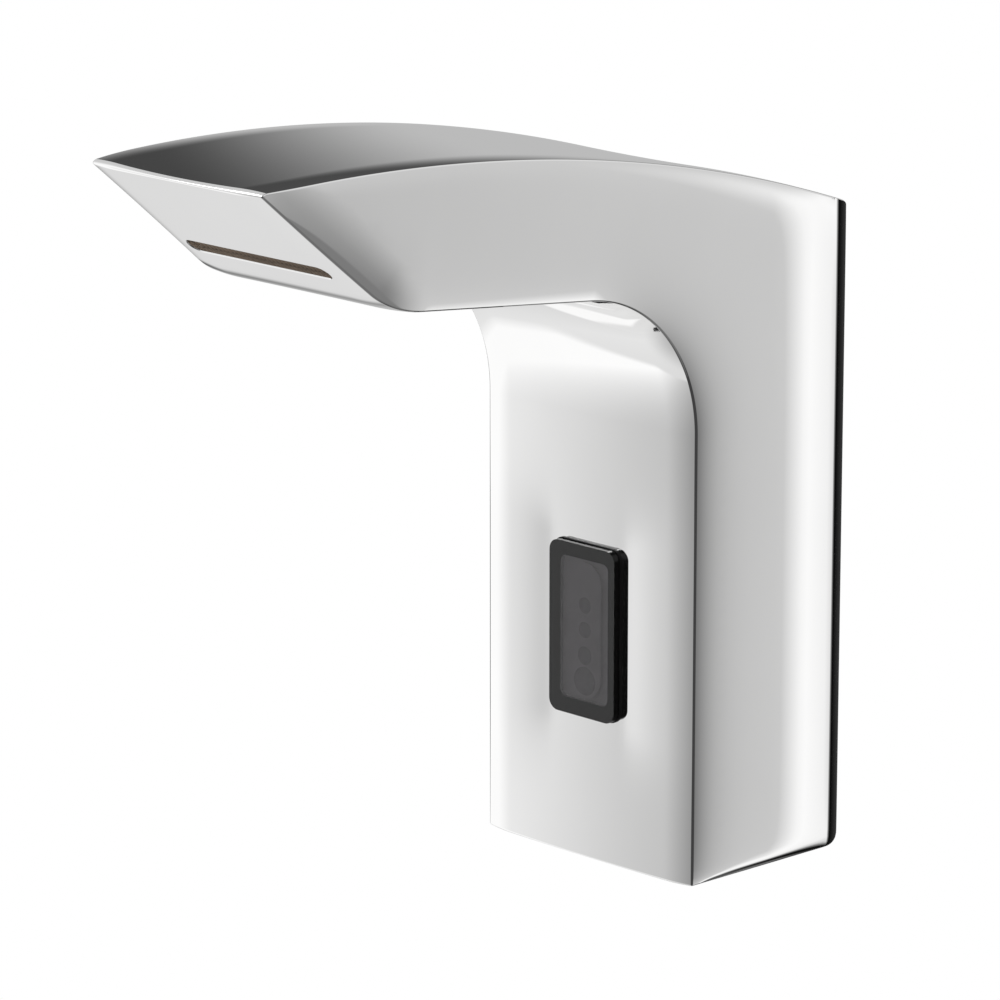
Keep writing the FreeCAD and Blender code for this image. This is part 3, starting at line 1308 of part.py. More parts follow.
def make_battery():
    """Battery box on the shelf of the wall plate."""
    walls = slab("box_outside", BOX_WIDTH, (BOX_BASE, BOX_TOP), (BOX_FRONT, PLATE_FRONT), "case_wall")
    inside = "(%s - 2 * case_wall)" % BOX_WIDTH
    floor, ceiling = "(%s + case_wall)" % BOX_BASE, "(%s - case_wall)" % BOX_TOP
    back = "(%s - case_wall)" % PLATE_FRONT
    room = slab("box_inside", inside, (floor, ceiling), (past(BOX_FRONT, "-wall"), back))
    node("battery_box", cut("battery_case", walls, room))
    lid_y = ("%s - case_wall" % BOX_FRONT, BOX_FRONT)
    lid = slab("battery_lid", BOX_WIDTH, (BOX_BASE, BOX_TOP), lid_y, "case_wall")
    tongue = slab(
        "battery_tongue", "%s - 2 * part_play" % inside,
        (past(floor, "part_play"), past(ceiling, "-part_play")),
        (BOX_FRONT, past(BOX_FRONT, "case_wall")),
    )
    node("battery_cover", join("battery_door", lid, tongue))
    top = "(%s + battery_height)" % floor
    cell_y = ("%s - battery_depth" % back, back)
    node("battery", slab("cell", "battery_width", (floor, top), cell_y, "battery_round"))
    contacts = []
    middle = "(%s - battery_depth / 2)" % back
    for index, sign in enumerate("-+"):
        centre = "%scontact_spread / 2" % sign
        contacts.append(
            box(
                "contact_%d" % index,
                ("%s - contact_width / 2" % centre, "%s + contact_width / 2" % centre),
                ("%s - contact_width / 2" % middle, "%s + contact_width / 2" % middle), (top, ceiling),
            )
        )
    node("battery_contacts", group("contact_pair", *contacts))


def make_leads():
    """Leads from the battery, the coil and the sensor to the underside of the control case."""
    port_y = "(%s - control_depth / 2)" % VALVE_FRONT
    beside = "(-%s / 2 + cable_width / 2)" % BOX_WIDTH
    box_middle = "(%s - case_wall - battery_depth / 2)" % PLATE_FRONT
    level = "(%s + cable_bend + cable_width)" % BOX_TOP
    node("battery_lead", lead("lead_from_battery", [
        (beside, box_middle, BOX_TOP), (beside, box_middle, level), (beside, port_y, level),
        (beside, port_y, CONTROL_LOW),
    ]))
    coil_level = "(%s - terminal_height / 2)" % COIL_TOP
    coil_port = "(%s - cable_bend)" % COIL_FRONT
    side = "(terminal_width / 4)"
    node("coil_lead", lead("lead_from_coil", [
        (side, COIL_FRONT, coil_level), (side, coil_port, coil_level), (side, coil_port, CONTROL_LOW),
    ]))
    cap_top = "(%s + carrier_height / 2 + case_wall)" % SENSOR_Z
    cap_middle = "(%s + case_depth / 2)" % CLAMP_Y
    sensor_side = "(-bezel_width / 4)"
    node("sensor_lead", lead("lead_from_sensor", [
        (sensor_side, cap_middle, cap_top), (sensor_side, cap_middle, CONTROL_LOW),
    ]))


# ---------------------------------------------------------------- build and write


def build():
    write_sizes()
    profile, plan = side_profile(), plan_outline()
    nozzle_inset = "wall + seal_thickness"
    forms = {"outer": bowed_form("outer_form", profile, plan)}
    for name, profile_inset, plan_inset in (
        ("cavity", "wall", "wall"),
        ("nozzle", nozzle_inset, "wall"),
        ("chamber", nozzle_inset + " + nozzle_wall", "wall + nozzle_wall"),
    ):
        inner_profile = inset(name + "_profile", profile, profile_inset)
        inner_plan = inset(name + "_plan", plan, plan_inset)
        forms[name] = bowed_form(name + "_form", inner_profile, inner_plan)
    document.recompute()
    make_casting(forms)
    make_grub_screws()
    make_outlet(forms)
    make_wall_fixing()
    make_nipple()
    make_strainer()
    make_check_valve()
    make_valve_block()
    make_diaphragm()
    make_bonnet()
    make_plunger()
    make_coil()
    make_sensor()
    make_control_unit()
    make_battery()
    make_leads()
    document.recompute()


def check():
    for item in document.Objects:
        bad = [state for state in item.State if state in ("Invalid", "Error")]
        if bad:
            raise RuntimeError("%s is %s" % (item.Name, bad))
    for name, piece in NODES.items():
        if piece.Shape.isNull() or not piece.Shape.isValid() or piece.Shape.Volume <= 0:
            raise RuntimeError("%s has no valid solid" % name)


def write():
    os.makedirs("parts", exist_ok=True)
    for name, piece in NODES.items():
        piece.Shape.exportStep("parts/%s.step" % name)
        print("%-22s %2d solids %10.1f mm3" % (name, len(piece.Shape.Solids), piece.Shape.Volume))


build()
check()
write()
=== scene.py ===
import json
import math

import bpy
import numpy as np
from mathutils import Matrix, Vector
from mathutils.geometry import delaunay_2d_cdt

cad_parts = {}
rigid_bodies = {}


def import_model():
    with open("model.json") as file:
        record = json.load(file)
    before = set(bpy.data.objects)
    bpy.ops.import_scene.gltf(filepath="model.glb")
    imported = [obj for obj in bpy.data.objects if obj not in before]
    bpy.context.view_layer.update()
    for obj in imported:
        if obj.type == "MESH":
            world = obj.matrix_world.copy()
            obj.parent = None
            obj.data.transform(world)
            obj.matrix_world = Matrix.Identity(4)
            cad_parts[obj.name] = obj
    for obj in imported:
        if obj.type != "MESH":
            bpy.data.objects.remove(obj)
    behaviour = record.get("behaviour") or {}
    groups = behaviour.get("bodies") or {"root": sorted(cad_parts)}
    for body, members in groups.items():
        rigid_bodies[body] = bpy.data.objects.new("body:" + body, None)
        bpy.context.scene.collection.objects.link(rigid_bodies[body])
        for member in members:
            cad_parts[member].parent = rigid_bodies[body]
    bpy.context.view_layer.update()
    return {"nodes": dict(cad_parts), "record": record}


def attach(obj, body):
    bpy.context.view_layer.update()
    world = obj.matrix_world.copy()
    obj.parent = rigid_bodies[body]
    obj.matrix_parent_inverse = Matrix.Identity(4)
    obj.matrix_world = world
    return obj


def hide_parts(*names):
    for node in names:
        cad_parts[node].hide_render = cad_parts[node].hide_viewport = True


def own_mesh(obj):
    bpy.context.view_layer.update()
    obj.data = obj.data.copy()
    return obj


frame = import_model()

# Looks for a wall-mounted sensor tap.  Lengths are in millimetres up to the moment a mesh is made.

MM = 0.001
NODES = frame["nodes"]

# ---------------------------------------------------------------- sizes of the chrome body

INLET_HEIGHT = 118.0
NOSE_ANGLE = math.radians(39.9)
NOSE_LENGTH = 44.7
TIP_HEIGHT = 201.7
TIP_FACET = 1.7
CHIN_RADIUS = 26.0
UNDERSIDE_ANGLE = math.radians(5.67)
THROAT_RADIUS = 40.8
OVERALL_HEIGHT = 203.04
ARCH_RADIUS = 513.4
ARCH_CENTRE = np.array([-175.2, OVERALL_HEIGHT - ARCH_RADIUS])
BACK = -1.5
SIDE_ROUND = 11.0
BOTTOM_ROUND = 11.0
TOP_ROUND = 6.5
CORNER_ROUND = 0.45
EDGE_ROUND = 0.45
# the front face is bowed across and falls away faster towards its two edges
FRONT_MIDDLE, FRONT_EDGE = 64.0, 62.0
REACH_MIDDLE, REACH_EDGE = 205.8, 204.3
# the crisp side edges run apart towards the wall
FRONT_HALF_WIDTH, WIDENING = 37.7, 0.0385
SOFT_ROLL, SOFT_WIDTH = 0.55, 9.0
# the sides are full in their middle, fall away towards their outline and turn in before the rear rounding
PILLOW_DEPTH, PILLOW_WIDTH = 2.1, 6.0
TURN_IN, TURN_IN_START = 1.25, -36.0
BOTTOM_SHARE, BOTTOM_FADE = 0.3, 1.2
# a soft bevel beside the nose face, given as its depth at the tip, half way down and at the nose's end
BEVEL_DEPTHS = (1.5, 2.1, 1.8)
BEVEL_LEAST = 0.3
BEVEL_SLOPE, BEVEL_EVEN, BEVEL_END = 0.26, 0.35, 1.4
# a shallow sink round the sensor, on the flat part of the front
SINK_DEPTH, SINK_WIDTH, SINK_SOFTNESS = 1.15, 9.0, 4.0
SINK_TOP = 130.0
SENSOR_HALF = (12.2, 23.65)
WINDOW_HEIGHT, WINDOW_HALF = 62.3, (11.0, 22.45)
SLOT_OFFSET, SLOT_HALF, SLOT_RADIUS, SLOT_DEPTH = 36.5, 22.9, 2.55, 3.6
GRUB_PLACE, GRUB_RADIUS, GRUB_DEPTH = (16.0, -16.0), 2.5, 3.0
# the skin's grid is left open this far round the slot and the set screws
SLOT_PATCH = (28.0, 4.6)
GRUB_PATCH_HALF, GRUB_PATCH_FRONT, GRUB_PATCH_REAR = 3.9, 4.2, 3.6
RIM_ROUND = 0.35
OPENING_HALF_WIDTH, OPENING_BOTTOM, OPENING_TOP = 27.0, 13.5, 162.0
OPENING_ROUND, OPENING_DEPTH = 4.0, 3.0

# directions in the side view (y, z): along the nose face and the underside, and from each into the metal
NOSE_WAY = np.array([math.cos(NOSE_ANGLE), -math.sin(NOSE_ANGLE)])
NOSE_INWARD = np.array([math.sin(NOSE_ANGLE), math.cos(NOSE_ANGLE)])
UNDER_WAY = np.array([math.cos(UNDERSIDE_ANGLE), -math.sin(UNDERSIDE_ANGLE)])
UNDER_INWARD = np.array([math.sin(UNDERSIDE_ANGLE), math.cos(UNDERSIDE_ANGLE)])


# ---------------------------------------------------------------- side view of the chrome body


def edge_half_width(y):
    """Half the width of the body along its crisp side edges."""
    return FRONT_HALF_WIDTH + WIDENING * (np.asarray(y) + FRONT_EDGE)


def pillow_depth(y):
    """How much fuller the sides are in their middle."""
    start, end = TURN_IN_START, BACK - SIDE_ROUND
    share = (np.clip(np.asarray(y), start, end) - start) / (end - start)
    beyond = np.maximum(np.asarray(y) - end, 0.0) * 2 * TURN_IN / (end - start)
    return PILLOW_DEPTH - TURN_IN * share**2 - beyond


def rear_inset(y):
    """How far the rounding of the rear edges pulls the sides in."""
    into = np.clip(np.asarray(y) - (BACK - SIDE_ROUND), 0.0, SIDE_ROUND)
    return SIDE_ROUND - np.sqrt(np.maximum(SIDE_ROUND**2 - into**2, 0.0))


def unit(v):
    return v / np.linalg.norm(v)


def line(start, end, breaks):
    """Points and outward normals along a straight run.  The outside is on the left of the way it goes."""
    start, end = np.array(start, float), np.array(end, float)
    along = unit(end - start)
    normal = np.array([-along[1], along[0]])
    return [(start + (end - start) * t, normal) for t in breaks]


def arc(centre, radius, first, last, count, hollow=False):
    """Points and outward normals along an arc, from one angle to another."""
    points = []
    for t in np.linspace(0.0, 1.0, count):
        angle = first + (last - first) * t
        spoke = np.array([math.cos(angle), math.sin(angle)])
        points.append((np.array(centre) + spoke * radius, -spoke if hollow else spoke))
    return points


def rear_steps():
    """Places along Y at which the rear rounding is sampled."""
    turns = np.radians(np.concatenate([np.linspace(0, 84, 22), [87.0, 90.0]]))
    return BACK - SIDE_ROUND + SIDE_ROUND * np.sin(turns), turns


def top_height(y):
    """Upper outline at y, with its rounding at the wall."""
    arch = ARCH_CENTRE[1] + np.sqrt(ARCH_RADIUS**2 - (y - ARCH_CENTRE[0]) ** 2)
    into = max(0.0, y - (BACK - TOP_ROUND))
    return arch - (TOP_ROUND - math.sqrt(max(TOP_ROUND**2 - into**2, 0.0)))


def round_corner(corner, before, after, radius, count=7):
    """A small arc in place of a sharp corner between two outward normals."""
    half = math.acos(np.clip(np.dot(before, after), -1, 1)) / 2
    centre = corner - unit(before + after) * radius / math.cos(half)
    first = math.atan2(before[1], before[0])
    last = math.atan2(after[1], after[0])
    last += 2 * math.pi * round((first - last) / (2 * math.pi))
    return arc(centre, radius, first, last, count)


def steps(count, *extra):
    """Fractions from 0 to 1, with any extra ones added."""
    return sorted(set(np.round(np.concatenate([np.linspace(0.0, 1.0, count), extra]), 6)))


def key_points(front, reach):
    """Tip, end of the nose face, centre of the chin, start of the underside and centre of the throat."""
    tip = np.array([-reach, TIP_HEIGHT])
    nose_end = tip + NOSE_WAY * NOSE_LENGTH
    chin = nose_end + NOSE_INWARD * CHIN_RADIUS
    under = chin - UNDER_INWARD * CHIN_RADIUS
    throat_y = -front - THROAT_RADIUS
    drop = math.tan(UNDERSIDE_ANGLE) * (throat_y - under[0])
    throat_z = under[1] - drop - THROAT_RADIUS / math.cos(UNDERSIDE_ANGLE)
    return tip, nose_end, chin, under, np.array([throat_y, throat_z])


def bottom_rounding(rear_y, turns):
    """Points and normals of the rounding between the back and the bottom, going forwards."""
    points = []
    for y, turn in zip(rear_y[::-1], turns[::-1]):
        spoke = np.array([math.sin(turn), -math.cos(turn)])
        points.append((np.array([y, BOTTOM_ROUND - BOTTOM_ROUND * math.cos(turn)]), spoke))
    return points


def top_run(start_y, rear_y):
    """Points and normals along the arch and its rounding at the wall."""
    points = []
    for y in np.concatenate([np.linspace(start_y, rear_y[0], 150)[:-1], rear_y]):
        spoke = unit(np.array([y, 0.0]) - [ARCH_CENTRE[0], ARCH_CENTRE[1] - top_height(y)])
        into = y - (BACK - TOP_ROUND)
        if into > 0:
            turned = math.asin(min(1.0, into / TOP_ROUND)) / (math.pi / 2)
            angle = math.atan2(spoke[1], spoke[0]) * (1 - turned)
            spoke = np.array([math.cos(angle), math.sin(angle)])
        points.append((np.array([y, top_height(y)]), spoke))
    return points


def side_outline(front, reach):
    """Side view, from the rear bottom round the front to the rear top: [(point, normal, run's name)]."""
    tip, nose_end, chin_centre, under_start, throat_centre = key_points(front, reach)
    throat_z = throat_centre[1]
    under_end = throat_centre + UNDER_INWARD * THROAT_RADIUS
    facet_y = tip[0] + TIP_FACET
    facet_end = np.array([facet_y, top_height(facet_y)])
    rear_y, rear_turns = rear_steps()

    bottom_arc = bottom_rounding(rear_y, rear_turns)
    bottom = line((rear_y[0], 0.0), (-front, 0.0), steps(32))
    window = [(WINDOW_HEIGHT + d) / throat_z for d in (-WINDOW_HALF[1], WINDOW_HALF[1])]
    face = line((-front, 0.0), (-front, throat_z), steps(54, *window))
    throat = arc(throat_centre, THROAT_RADIUS, 0.0, math.pi / 2 - UNDERSIDE_ANGLE, 66, hollow=True)
    under = line(under_end, under_start, steps(32))
    chin = arc(chin_centre, CHIN_RADIUS, -math.pi / 2 - UNDERSIDE_ANGLE, -math.pi / 2 - NOSE_ANGLE, 30)
    mouth = [1 - (SLOT_OFFSET + d) / NOSE_LENGTH for d in (-SLOT_PATCH[1], SLOT_PATCH[1])]
    nose = line(nose_end, tip, steps(31, *mouth))
    facet = line(tip, facet_end, (0.45, 0.65, 0.85))
    top = top_run(facet_y, rear_y)

    foot = round_corner(face[0][0], bottom[0][1], face[0][1], CORNER_ROUND)
    lip = round_corner(tip, nose[0][1], facet[0][1], CORNER_ROUND)
    brow = round_corner(facet_end, facet[0][1], top[0][1], CORNER_ROUND)
    runs = [
        ("bottom_arc", bottom_arc[:-1]), ("bottom", bottom[:-1]), ("foot", foot), ("face", face[1:]),
        ("throat", throat[1:]), ("under", under[1:]), ("chin", chin[1:]), ("nose", nose[1:-1]), ("lip", lip),
        ("facet", facet), ("brow", brow), ("top", top[1:]),
    ]
    return [(point, normal, name) for name, run in runs for point, normal in run]


MIDDLE = side_outline(FRONT_MIDDLE, REACH_MIDDLE)
EDGE = side_outline(FRONT_EDGE, REACH_EDGE)
RUN = [name for _, _, name in MIDDLE]
MIDDLE_POINTS = np.array([p for p, _, _ in MIDDLE])
EDGE_POINTS = np.array([p for p, _, _ in EDGE])
EDGE_NORMALS = np.array([n for _, n, _ in EDGE])


# ---------------------------------------------------------------- skin of the chrome body


class Skin:
    """Collects patches, each with its own normals, and welds them into one mesh."""

    def __init__(self):
        self.points, self.faces, self.normals, self.ids = [], [], [], {}

    def vertex(self, point):
        key = tuple(np.round(point, 3))
        if key not in self.ids:
            self.ids[key] = len(self.points)
            self.points.append(point)
        return self.ids[key]

    def face(self, corners, normals):
        ids = [self.vertex(corner) for corner in corners]
        keep = [k for k in range(len(ids)) if ids[k] != ids[k - 1]]
        if len(keep) < 3 or len(set(ids)) != len(keep):
            return
        ids, normals = [ids[k] for k in keep], [normals[k] for k in keep]
        a, b, c = (np.array(self.points[ids[k]]) for k in (0, 1, 2))
        if np.dot(np.cross(b - a, c - a), np.sum(normals, axis=0)) < 0:
            ids, normals = ids[::-1], normals[::-1]
        self.faces.append(ids)
        self.normals.extend(normals)

    def grid(self, points, normals, skip=None):
        rows, columns = points.shape[:2]
        for i in range(rows - 1):
            for j in range(columns - 1):
                if skip is not None and skip(i, j):
                    continue
                at = [(i, j), (i, j + 1), (i + 1, j + 1), (i + 1, j)]
                self.face([points[k] for k in at], [normals[k] for k in at])

    def mesh(self, name):
        data = bpy.data.meshes.new(name)
        scaled = [(x * MM, y * MM, (h - INLET_HEIGHT) * MM) for x, y, h in self.points]
        data.from_pydata(scaled, [], self.faces)
        data.polygons.foreach_set("use_smooth", [True] * len(data.polygons))
        data.normals_split_custom_set([tuple(n) for n in self.normals])
        piece = bpy.data.objects.new(name, data)
        bpy.context.collection.objects.link(piece)
        return piece


def rounding(distance):
    """Depth of the small rounding at a distance from a crisp edge."""
    into = np.clip(EDGE_ROUND - distance, 0.0, EDGE_ROUND)
    return EDGE_ROUND - np.sqrt(EDGE_ROUND**2 - into**2)


def wrap_point(middle, edge, normal, x):
    """A point of the surface that runs round the body, at x across it."""
    half = outline_half_width(edge)
    away = half - np.abs(x)
    bow = (x / half) ** 2
    depth = SOFT_ROLL * (np.clip(1 - away / SOFT_WIDTH, 0, 1) ** 2 - bow) + rounding(away)
    depth = depth + sensor_sink(x, edge)
    place = middle + (edge - middle) * bow[..., None] - normal * depth[..., None]
    return np.concatenate([x[..., None], place], axis=-1)


def outline_half_width(edge):
    """Half the width of the body along its outline, with the bevel and the rear rounding taken off."""
    y, z = edge[..., 0], edge[..., 1]
    return edge_half_width(y) - nose_bevel(y, z) - rear_inset(y)


def sensor_sink(x, edge):
    """Depth of the sink round the sensor, which fades with the distance from its outline."""
    dx = np.maximum(np.abs(x) - SENSOR_HALF[0], 0.0)
    dz = np.maximum(np.abs(edge[..., 1] - WINDOW_HEIGHT) - SENSOR_HALF[1], 0.0)
    on_front = edge[..., 0] < -FRONT_EDGE + 0.01
    below_throat = edge[..., 1] < SINK_TOP
    away = np.sqrt(dx**2 + dz**2 + SINK_SOFTNESS**2) - SINK_SOFTNESS
    return SINK_DEPTH * np.exp(-away / SINK_WIDTH) * (on_front & below_throat)


def nose_bevel(y, z):
    """How far the soft bevel beside the nose face pulls the sides in: an even slope that then fades out."""
    along, away = nose_place(y, z)
    share = along / NOSE_LENGTH
    tip, middle, end = BEVEL_DEPTHS
    swell = 4 * (middle - (tip + end) / 2) * share * (1 - share)
    fade = np.clip((BEVEL_END - share) / (BEVEL_END - 1), 0.0, 1.0)
    full = np.maximum(tip * (1 - share) + end * share + swell, BEVEL_LEAST)
    depth = full * fade**2 * (3 - 2 * fade)
    even_part = (1 + BEVEL_EVEN) / 2
    width = full / BEVEL_SLOPE / even_part
    t = np.clip(away / width, 0.0, 1.0)
    sloped = 1 - t / even_part
    fading = (1 - t) ** 2 / (2 * even_part * (1 - BEVEL_EVEN))
    return depth * np.where(t < BEVEL_EVEN, sloped, fading)


def along_and_away(y, z, start, way, inward):
    """Places of points along a straight run of the outline, and their depths behind it."""
    along = (y - start[0]) * way[0] + (z - start[1]) * way[1]
    away = (y - start[0]) * inward[0] + (z - start[1]) * inward[1]
    return along, away


def nose_place(y, z):
    """Place of a point of the side view: how far down the nose face and chin, and how far behind them."""
    tip, _, chin, _, _ = key_points(FRONT_EDGE, REACH_EDGE)
    along, away = along_and_away(y, z, tip, NOSE_WAY, NOSE_INWARD)
    turn = np.arctan2(y - chin[0], chin[1] - z) + NOSE_ANGLE
    past_nose = along > NOSE_LENGTH
    chin_along = NOSE_LENGTH + np.clip(turn, 0.0, math.pi) * CHIN_RADIUS
    chin_away = CHIN_RADIUS - np.hypot(y - chin[0], z - chin[1])
    chin_away = np.where(z < chin[1], chin_away, CHIN_RADIUS)
    return np.where(past_nose, chin_along, along), np.where(past_nose, chin_away, away)


# columns of the wrap: over the small edge rounding, over the window, and between these
EDGE_TURNS = np.radians([0.0, 10.0, 20.0, 30.0, 38.0])
WINDOW_COLUMNS, OUTER_COLUMNS, CROWDING = 4, 25, 1.7


def columns(half):
    """Places across the body, for one half width.  They crowd towards its edges."""
    inner = np.linspace(0.0, WINDOW_HALF[0], WINDOW_COLUMNS + 1)
    shares = 1 - (1 - np.linspace(0.0, 1.0, OUTER_COLUMNS)[1:-1]) ** CROWDING
    start = WINDOW_HALF[0]
    outer = start + (half - EDGE_ROUND - start) * shares
    rim = half - EDGE_ROUND + EDGE_ROUND * np.sin(EDGE_TURNS)
    right = np.concatenate([inner, outer, rim])
    return np.concatenate([-right[:0:-1], right])


def wrap_surface(rows_x, middle, edge, normal):
    """The surface at every place of a grid: rows along the outline, columns across the body."""
    count = rows_x.shape[1]
    spread = [np.repeat(a[:, None, :], count, axis=1) for a in (middle, edge, normal)]
    return wrap_point(*spread, rows_x)


def wrap_normals(rows_x, middle, edge, normal):
    """Normals from small steps across the surface and, along it, from the outline's own normal."""
    small = 0.02
    here = wrap_surface(rows_x, middle, edge, normal)
    left = wrap_surface(rows_x - small, middle, edge, normal)
    right = wrap_surface(rows_x + small, middle, edge, normal)
    across = (right - left) / (2 * small)
    outline = np.repeat(normal[:, None, :], rows_x.shape[1], axis=1)
    along = np.concatenate([np.zeros_like(rows_x)[..., None], -outline[..., 1:], outline[..., :1]], axis=-1)
    flat = np.concatenate([np.zeros_like(rows_x)[..., None], outline], axis=-1)
    result = np.cross(across, along)
    result /= np.linalg.norm(result, axis=-1, keepdims=True)
    result *= np.sign(np.sum(result * flat, axis=-1, keepdims=True))
    return here, result


def nearest_row(run, value, coordinate):
    """Row of the named run whose point comes nearest to a value."""
    rows = [i for i, name in enumerate(RUN) if name == run]
    return min(rows, key=lambda i: abs(MIDDLE_POINTS[i][coordinate] - value))


def rim_point(point, axes, half, radius, out, deep):
    """Point and normal on a long hole's rim or wall, on the side of a point of the skin."""
    centre, along, across, inward = axes
    u, v = np.dot(point - centre, across), np.dot(point - centre, along)
    middle = np.clip(u, -half, half)
    way = np.array([u - middle, v])
    way = way / np.linalg.norm(way)
    wall = -(across * way[0] + along * way[1])
    place = centre + across * (middle + way[0] * (radius + out)) + along * (way[1] * (radius + out))
    turn = math.acos(1 - min(1.0, deep / RIM_ROUND))
    return place + inward * deep, unit(-inward * math.cos(turn) + wall * math.sin(turn))


def punched_hole(skin, sheet, patch, axes, half, radius, depth):
    """Fills a gap of the grid round a long hole, with a rounded rim and a wall that goes inwards."""
    points, normals = sheet
    (r0, r1), (c0, c1) = patch
    loop = [(r0, c) for c in range(c0, c1)] + [(r, c1) for r in range(r0, r1)]
    loop += [(r1, c) for c in range(c1, c0, -1)] + [(r, c0) for r in range(r1, r0, -1)]
    turns = np.radians([0, 25, 50, 75, 90])
    levels = [(RIM_ROUND * (1 - math.sin(t)), RIM_ROUND * (1 - math.cos(t))) for t in turns]
    levels += [(0.0, depth * 0.5), (0.0, depth)]
    rings = [[(points[at], normals[at]) for at in loop]]
    for out, deep in levels:
        rings.append([rim_point(points[at], axes, half, radius, out, deep) for at in loop])
    for outer, inner in zip(rings, rings[1:]):
        for k in range(len(loop)):
            ahead = (k + 1) % len(loop)
            quad = [outer[k], outer[ahead], inner[ahead], inner[k]]
            skin.face([p for p, _ in quad], [n for _, n in quad])


# a run counts only for points beside it that lie no more than this far outside
FAR, OUTSIDE = 1e6, -0.5


def side_distances(y, z):
    """Distances from the edge outline: to its run from the tip to the bottom, to the top, to the bottom."""
    y, z = np.asarray(y, float), np.asarray(z, float)
    tip, _, chin, under, throat = key_points(FRONT_EDGE, REACH_EDGE)
    under_length = np.dot(throat + UNDER_INWARD * THROAT_RADIUS - under, UNDER_WAY)
    nose_along, nose_away = along_and_away(y, z, tip, NOSE_WAY, NOSE_INWARD)
    under_along, under_away = along_and_away(y, z, under, UNDER_WAY, UNDER_INWARD)
    runs = [
        (nose_along <= NOSE_LENGTH, nose_away),
        ((nose_along > NOSE_LENGTH) & (under_along < 0), CHIN_RADIUS - np.hypot(y - chin[0], z - chin[1])),
        ((under_along >= 0) & (under_along <= under_length), under_away),
        (
            (under_along > under_length) & (z > throat[1]),
            np.hypot(y - throat[0], z - throat[1]) - THROAT_RADIUS,
        ),
        (z <= throat[1], y + FRONT_EDGE),
    ]
    chain = np.minimum.reduce([np.where(beside & (away >= OUTSIDE), away, FAR) for beside, away in runs])
    top = ARCH_RADIUS - np.hypot(y - ARCH_CENTRE[0], z - ARCH_CENTRE[1])
    return np.maximum(chain, 0.0), np.maximum(top, 0.0), np.maximum(z, 0.0)


def side_half_width(y, z, inset):
    """Half the width of the body at a point of its side view, less an inset or else the edges' rounding."""
    distances = side_distances(y, z)
    full = np.ones_like(distances[0])
    for distance, share in zip(distances, (1.0, 1.0, BOTTOM_SHARE)):
        full = full * (1 - share * np.exp(-distance / PILLOW_WIDTH))
    nearest = np.minimum.reduce(distances)
    crisp = rounding(nearest) if inset is None else inset
    lift = pillow_depth(y) * (full - bottom_lift(distances))
    return edge_half_width(y) - nose_bevel(y, z) + lift - crisp


def bottom_lift(distances):
    """Takes the fullness away again right at the bottom edge, so that the side meets the underside."""
    chain, top, bottom = distances
    here = (1 - np.exp(-chain / PILLOW_WIDTH)) * (1 - np.exp(-top / PILLOW_WIDTH))
    return (1 - BOTTOM_SHARE) * here * np.exp(-bottom / BOTTOM_FADE)


def side_normals(y, z, inset=None):
    """Normals of the side on the right, from small steps over it."""
    small = 0.03
    dy = (side_half_width(y + small, z, inset) - side_half_width(y - small, z, inset)) / (2 * small)
    dz = (side_half_width(y, z + small, inset) - side_half_width(y, z - small, inset)) / (2 * small)
    normals = np.stack([np.ones_like(dy), -dy, -dz], axis=-1)
    return normals / np.linalg.norm(normals, axis=-1, keepdims=True)


# the sides start this far inside the outline, and further in their points lie on rings
STRIP_INSET = EDGE_ROUND * (1 - math.sin(math.radians(31)))
SIDE_END = BACK - SIDE_ROUND + 1e-6
RING_DEPTHS = (0.12, 0.26, 0.6, 1.2, 2.0, 3.0, 4.3, 6.0, 8.0, 10.5, 13.5, 17.5, 22.0, 27.0, 32.0)
COARSE_FROM = 8.0


def side_rings(outline, normals):
    """Rows of points further and further inside the outline."""
    kept = []
    for depth in RING_DEPTHS:
        ring = outline - normals * depth
        gap = np.min(np.linalg.norm(ring[:, None, :] - outline[None, :, :], axis=-1), axis=1)
        inside = (ring[:, 0] < BACK - SIDE_ROUND - 0.3) & (gap > depth * 0.97)
        stride = 1 if depth < COARSE_FROM else 2
        kept.append(ring[inside][::stride])
    return np.concatenate(kept)


def build_side(skin, sign):
    """One side face, as triangles between its outline, its seam at the rear rounding and the rings inside."""
    fore = EDGE_POINTS[:, 0] <= SIDE_END
    normals = EDGE_NORMALS[fore]
    boundary = (EDGE_POINTS - EDGE_NORMALS * STRIP_INSET)[fore]
    low, high = boundary[0][1], boundary[-1][1]
    heights = low + (high - low) * rear_shares()
    seam = np.stack([np.full_like(heights, rear_steps()[0][0]), heights], axis=-1)
    loop = np.concatenate([boundary, seam[1:-1][::-1]])
    count = len(loop)
    points = [Vector(p) for p in np.concatenate([loop, side_rings(boundary, normals)])]
    edges = [(k, (k + 1) % count) for k in range(count)]
    placed, _, triangles, _, _, _ = delaunay_2d_cdt(points, edges, [], 1, 1e-6)
    flat = np.array([(p.x, p.y) for p in placed])
    x = side_half_width(flat[:, 0], flat[:, 1], None)
    normal = side_normals(flat[:, 0], flat[:, 1])
    solid = np.stack([x * sign, flat[:, 0], flat[:, 1]], axis=-1)
    normal[:, 0] *= sign
    for triangle in triangles:
        skin.face([solid[k] for k in triangle], [normal[k] for k in triangle])


def rear_shares():
    """Places up the rear corner, from 0 to 1, close together at both ends."""
    ends = np.array([0.0, 0.003, 0.008, 0.016, 0.028, 0.045, 0.07, 0.10])
    return np.concatenate([ends, np.linspace(0.14, 0.86, 37), (1 - ends)[::-1]])


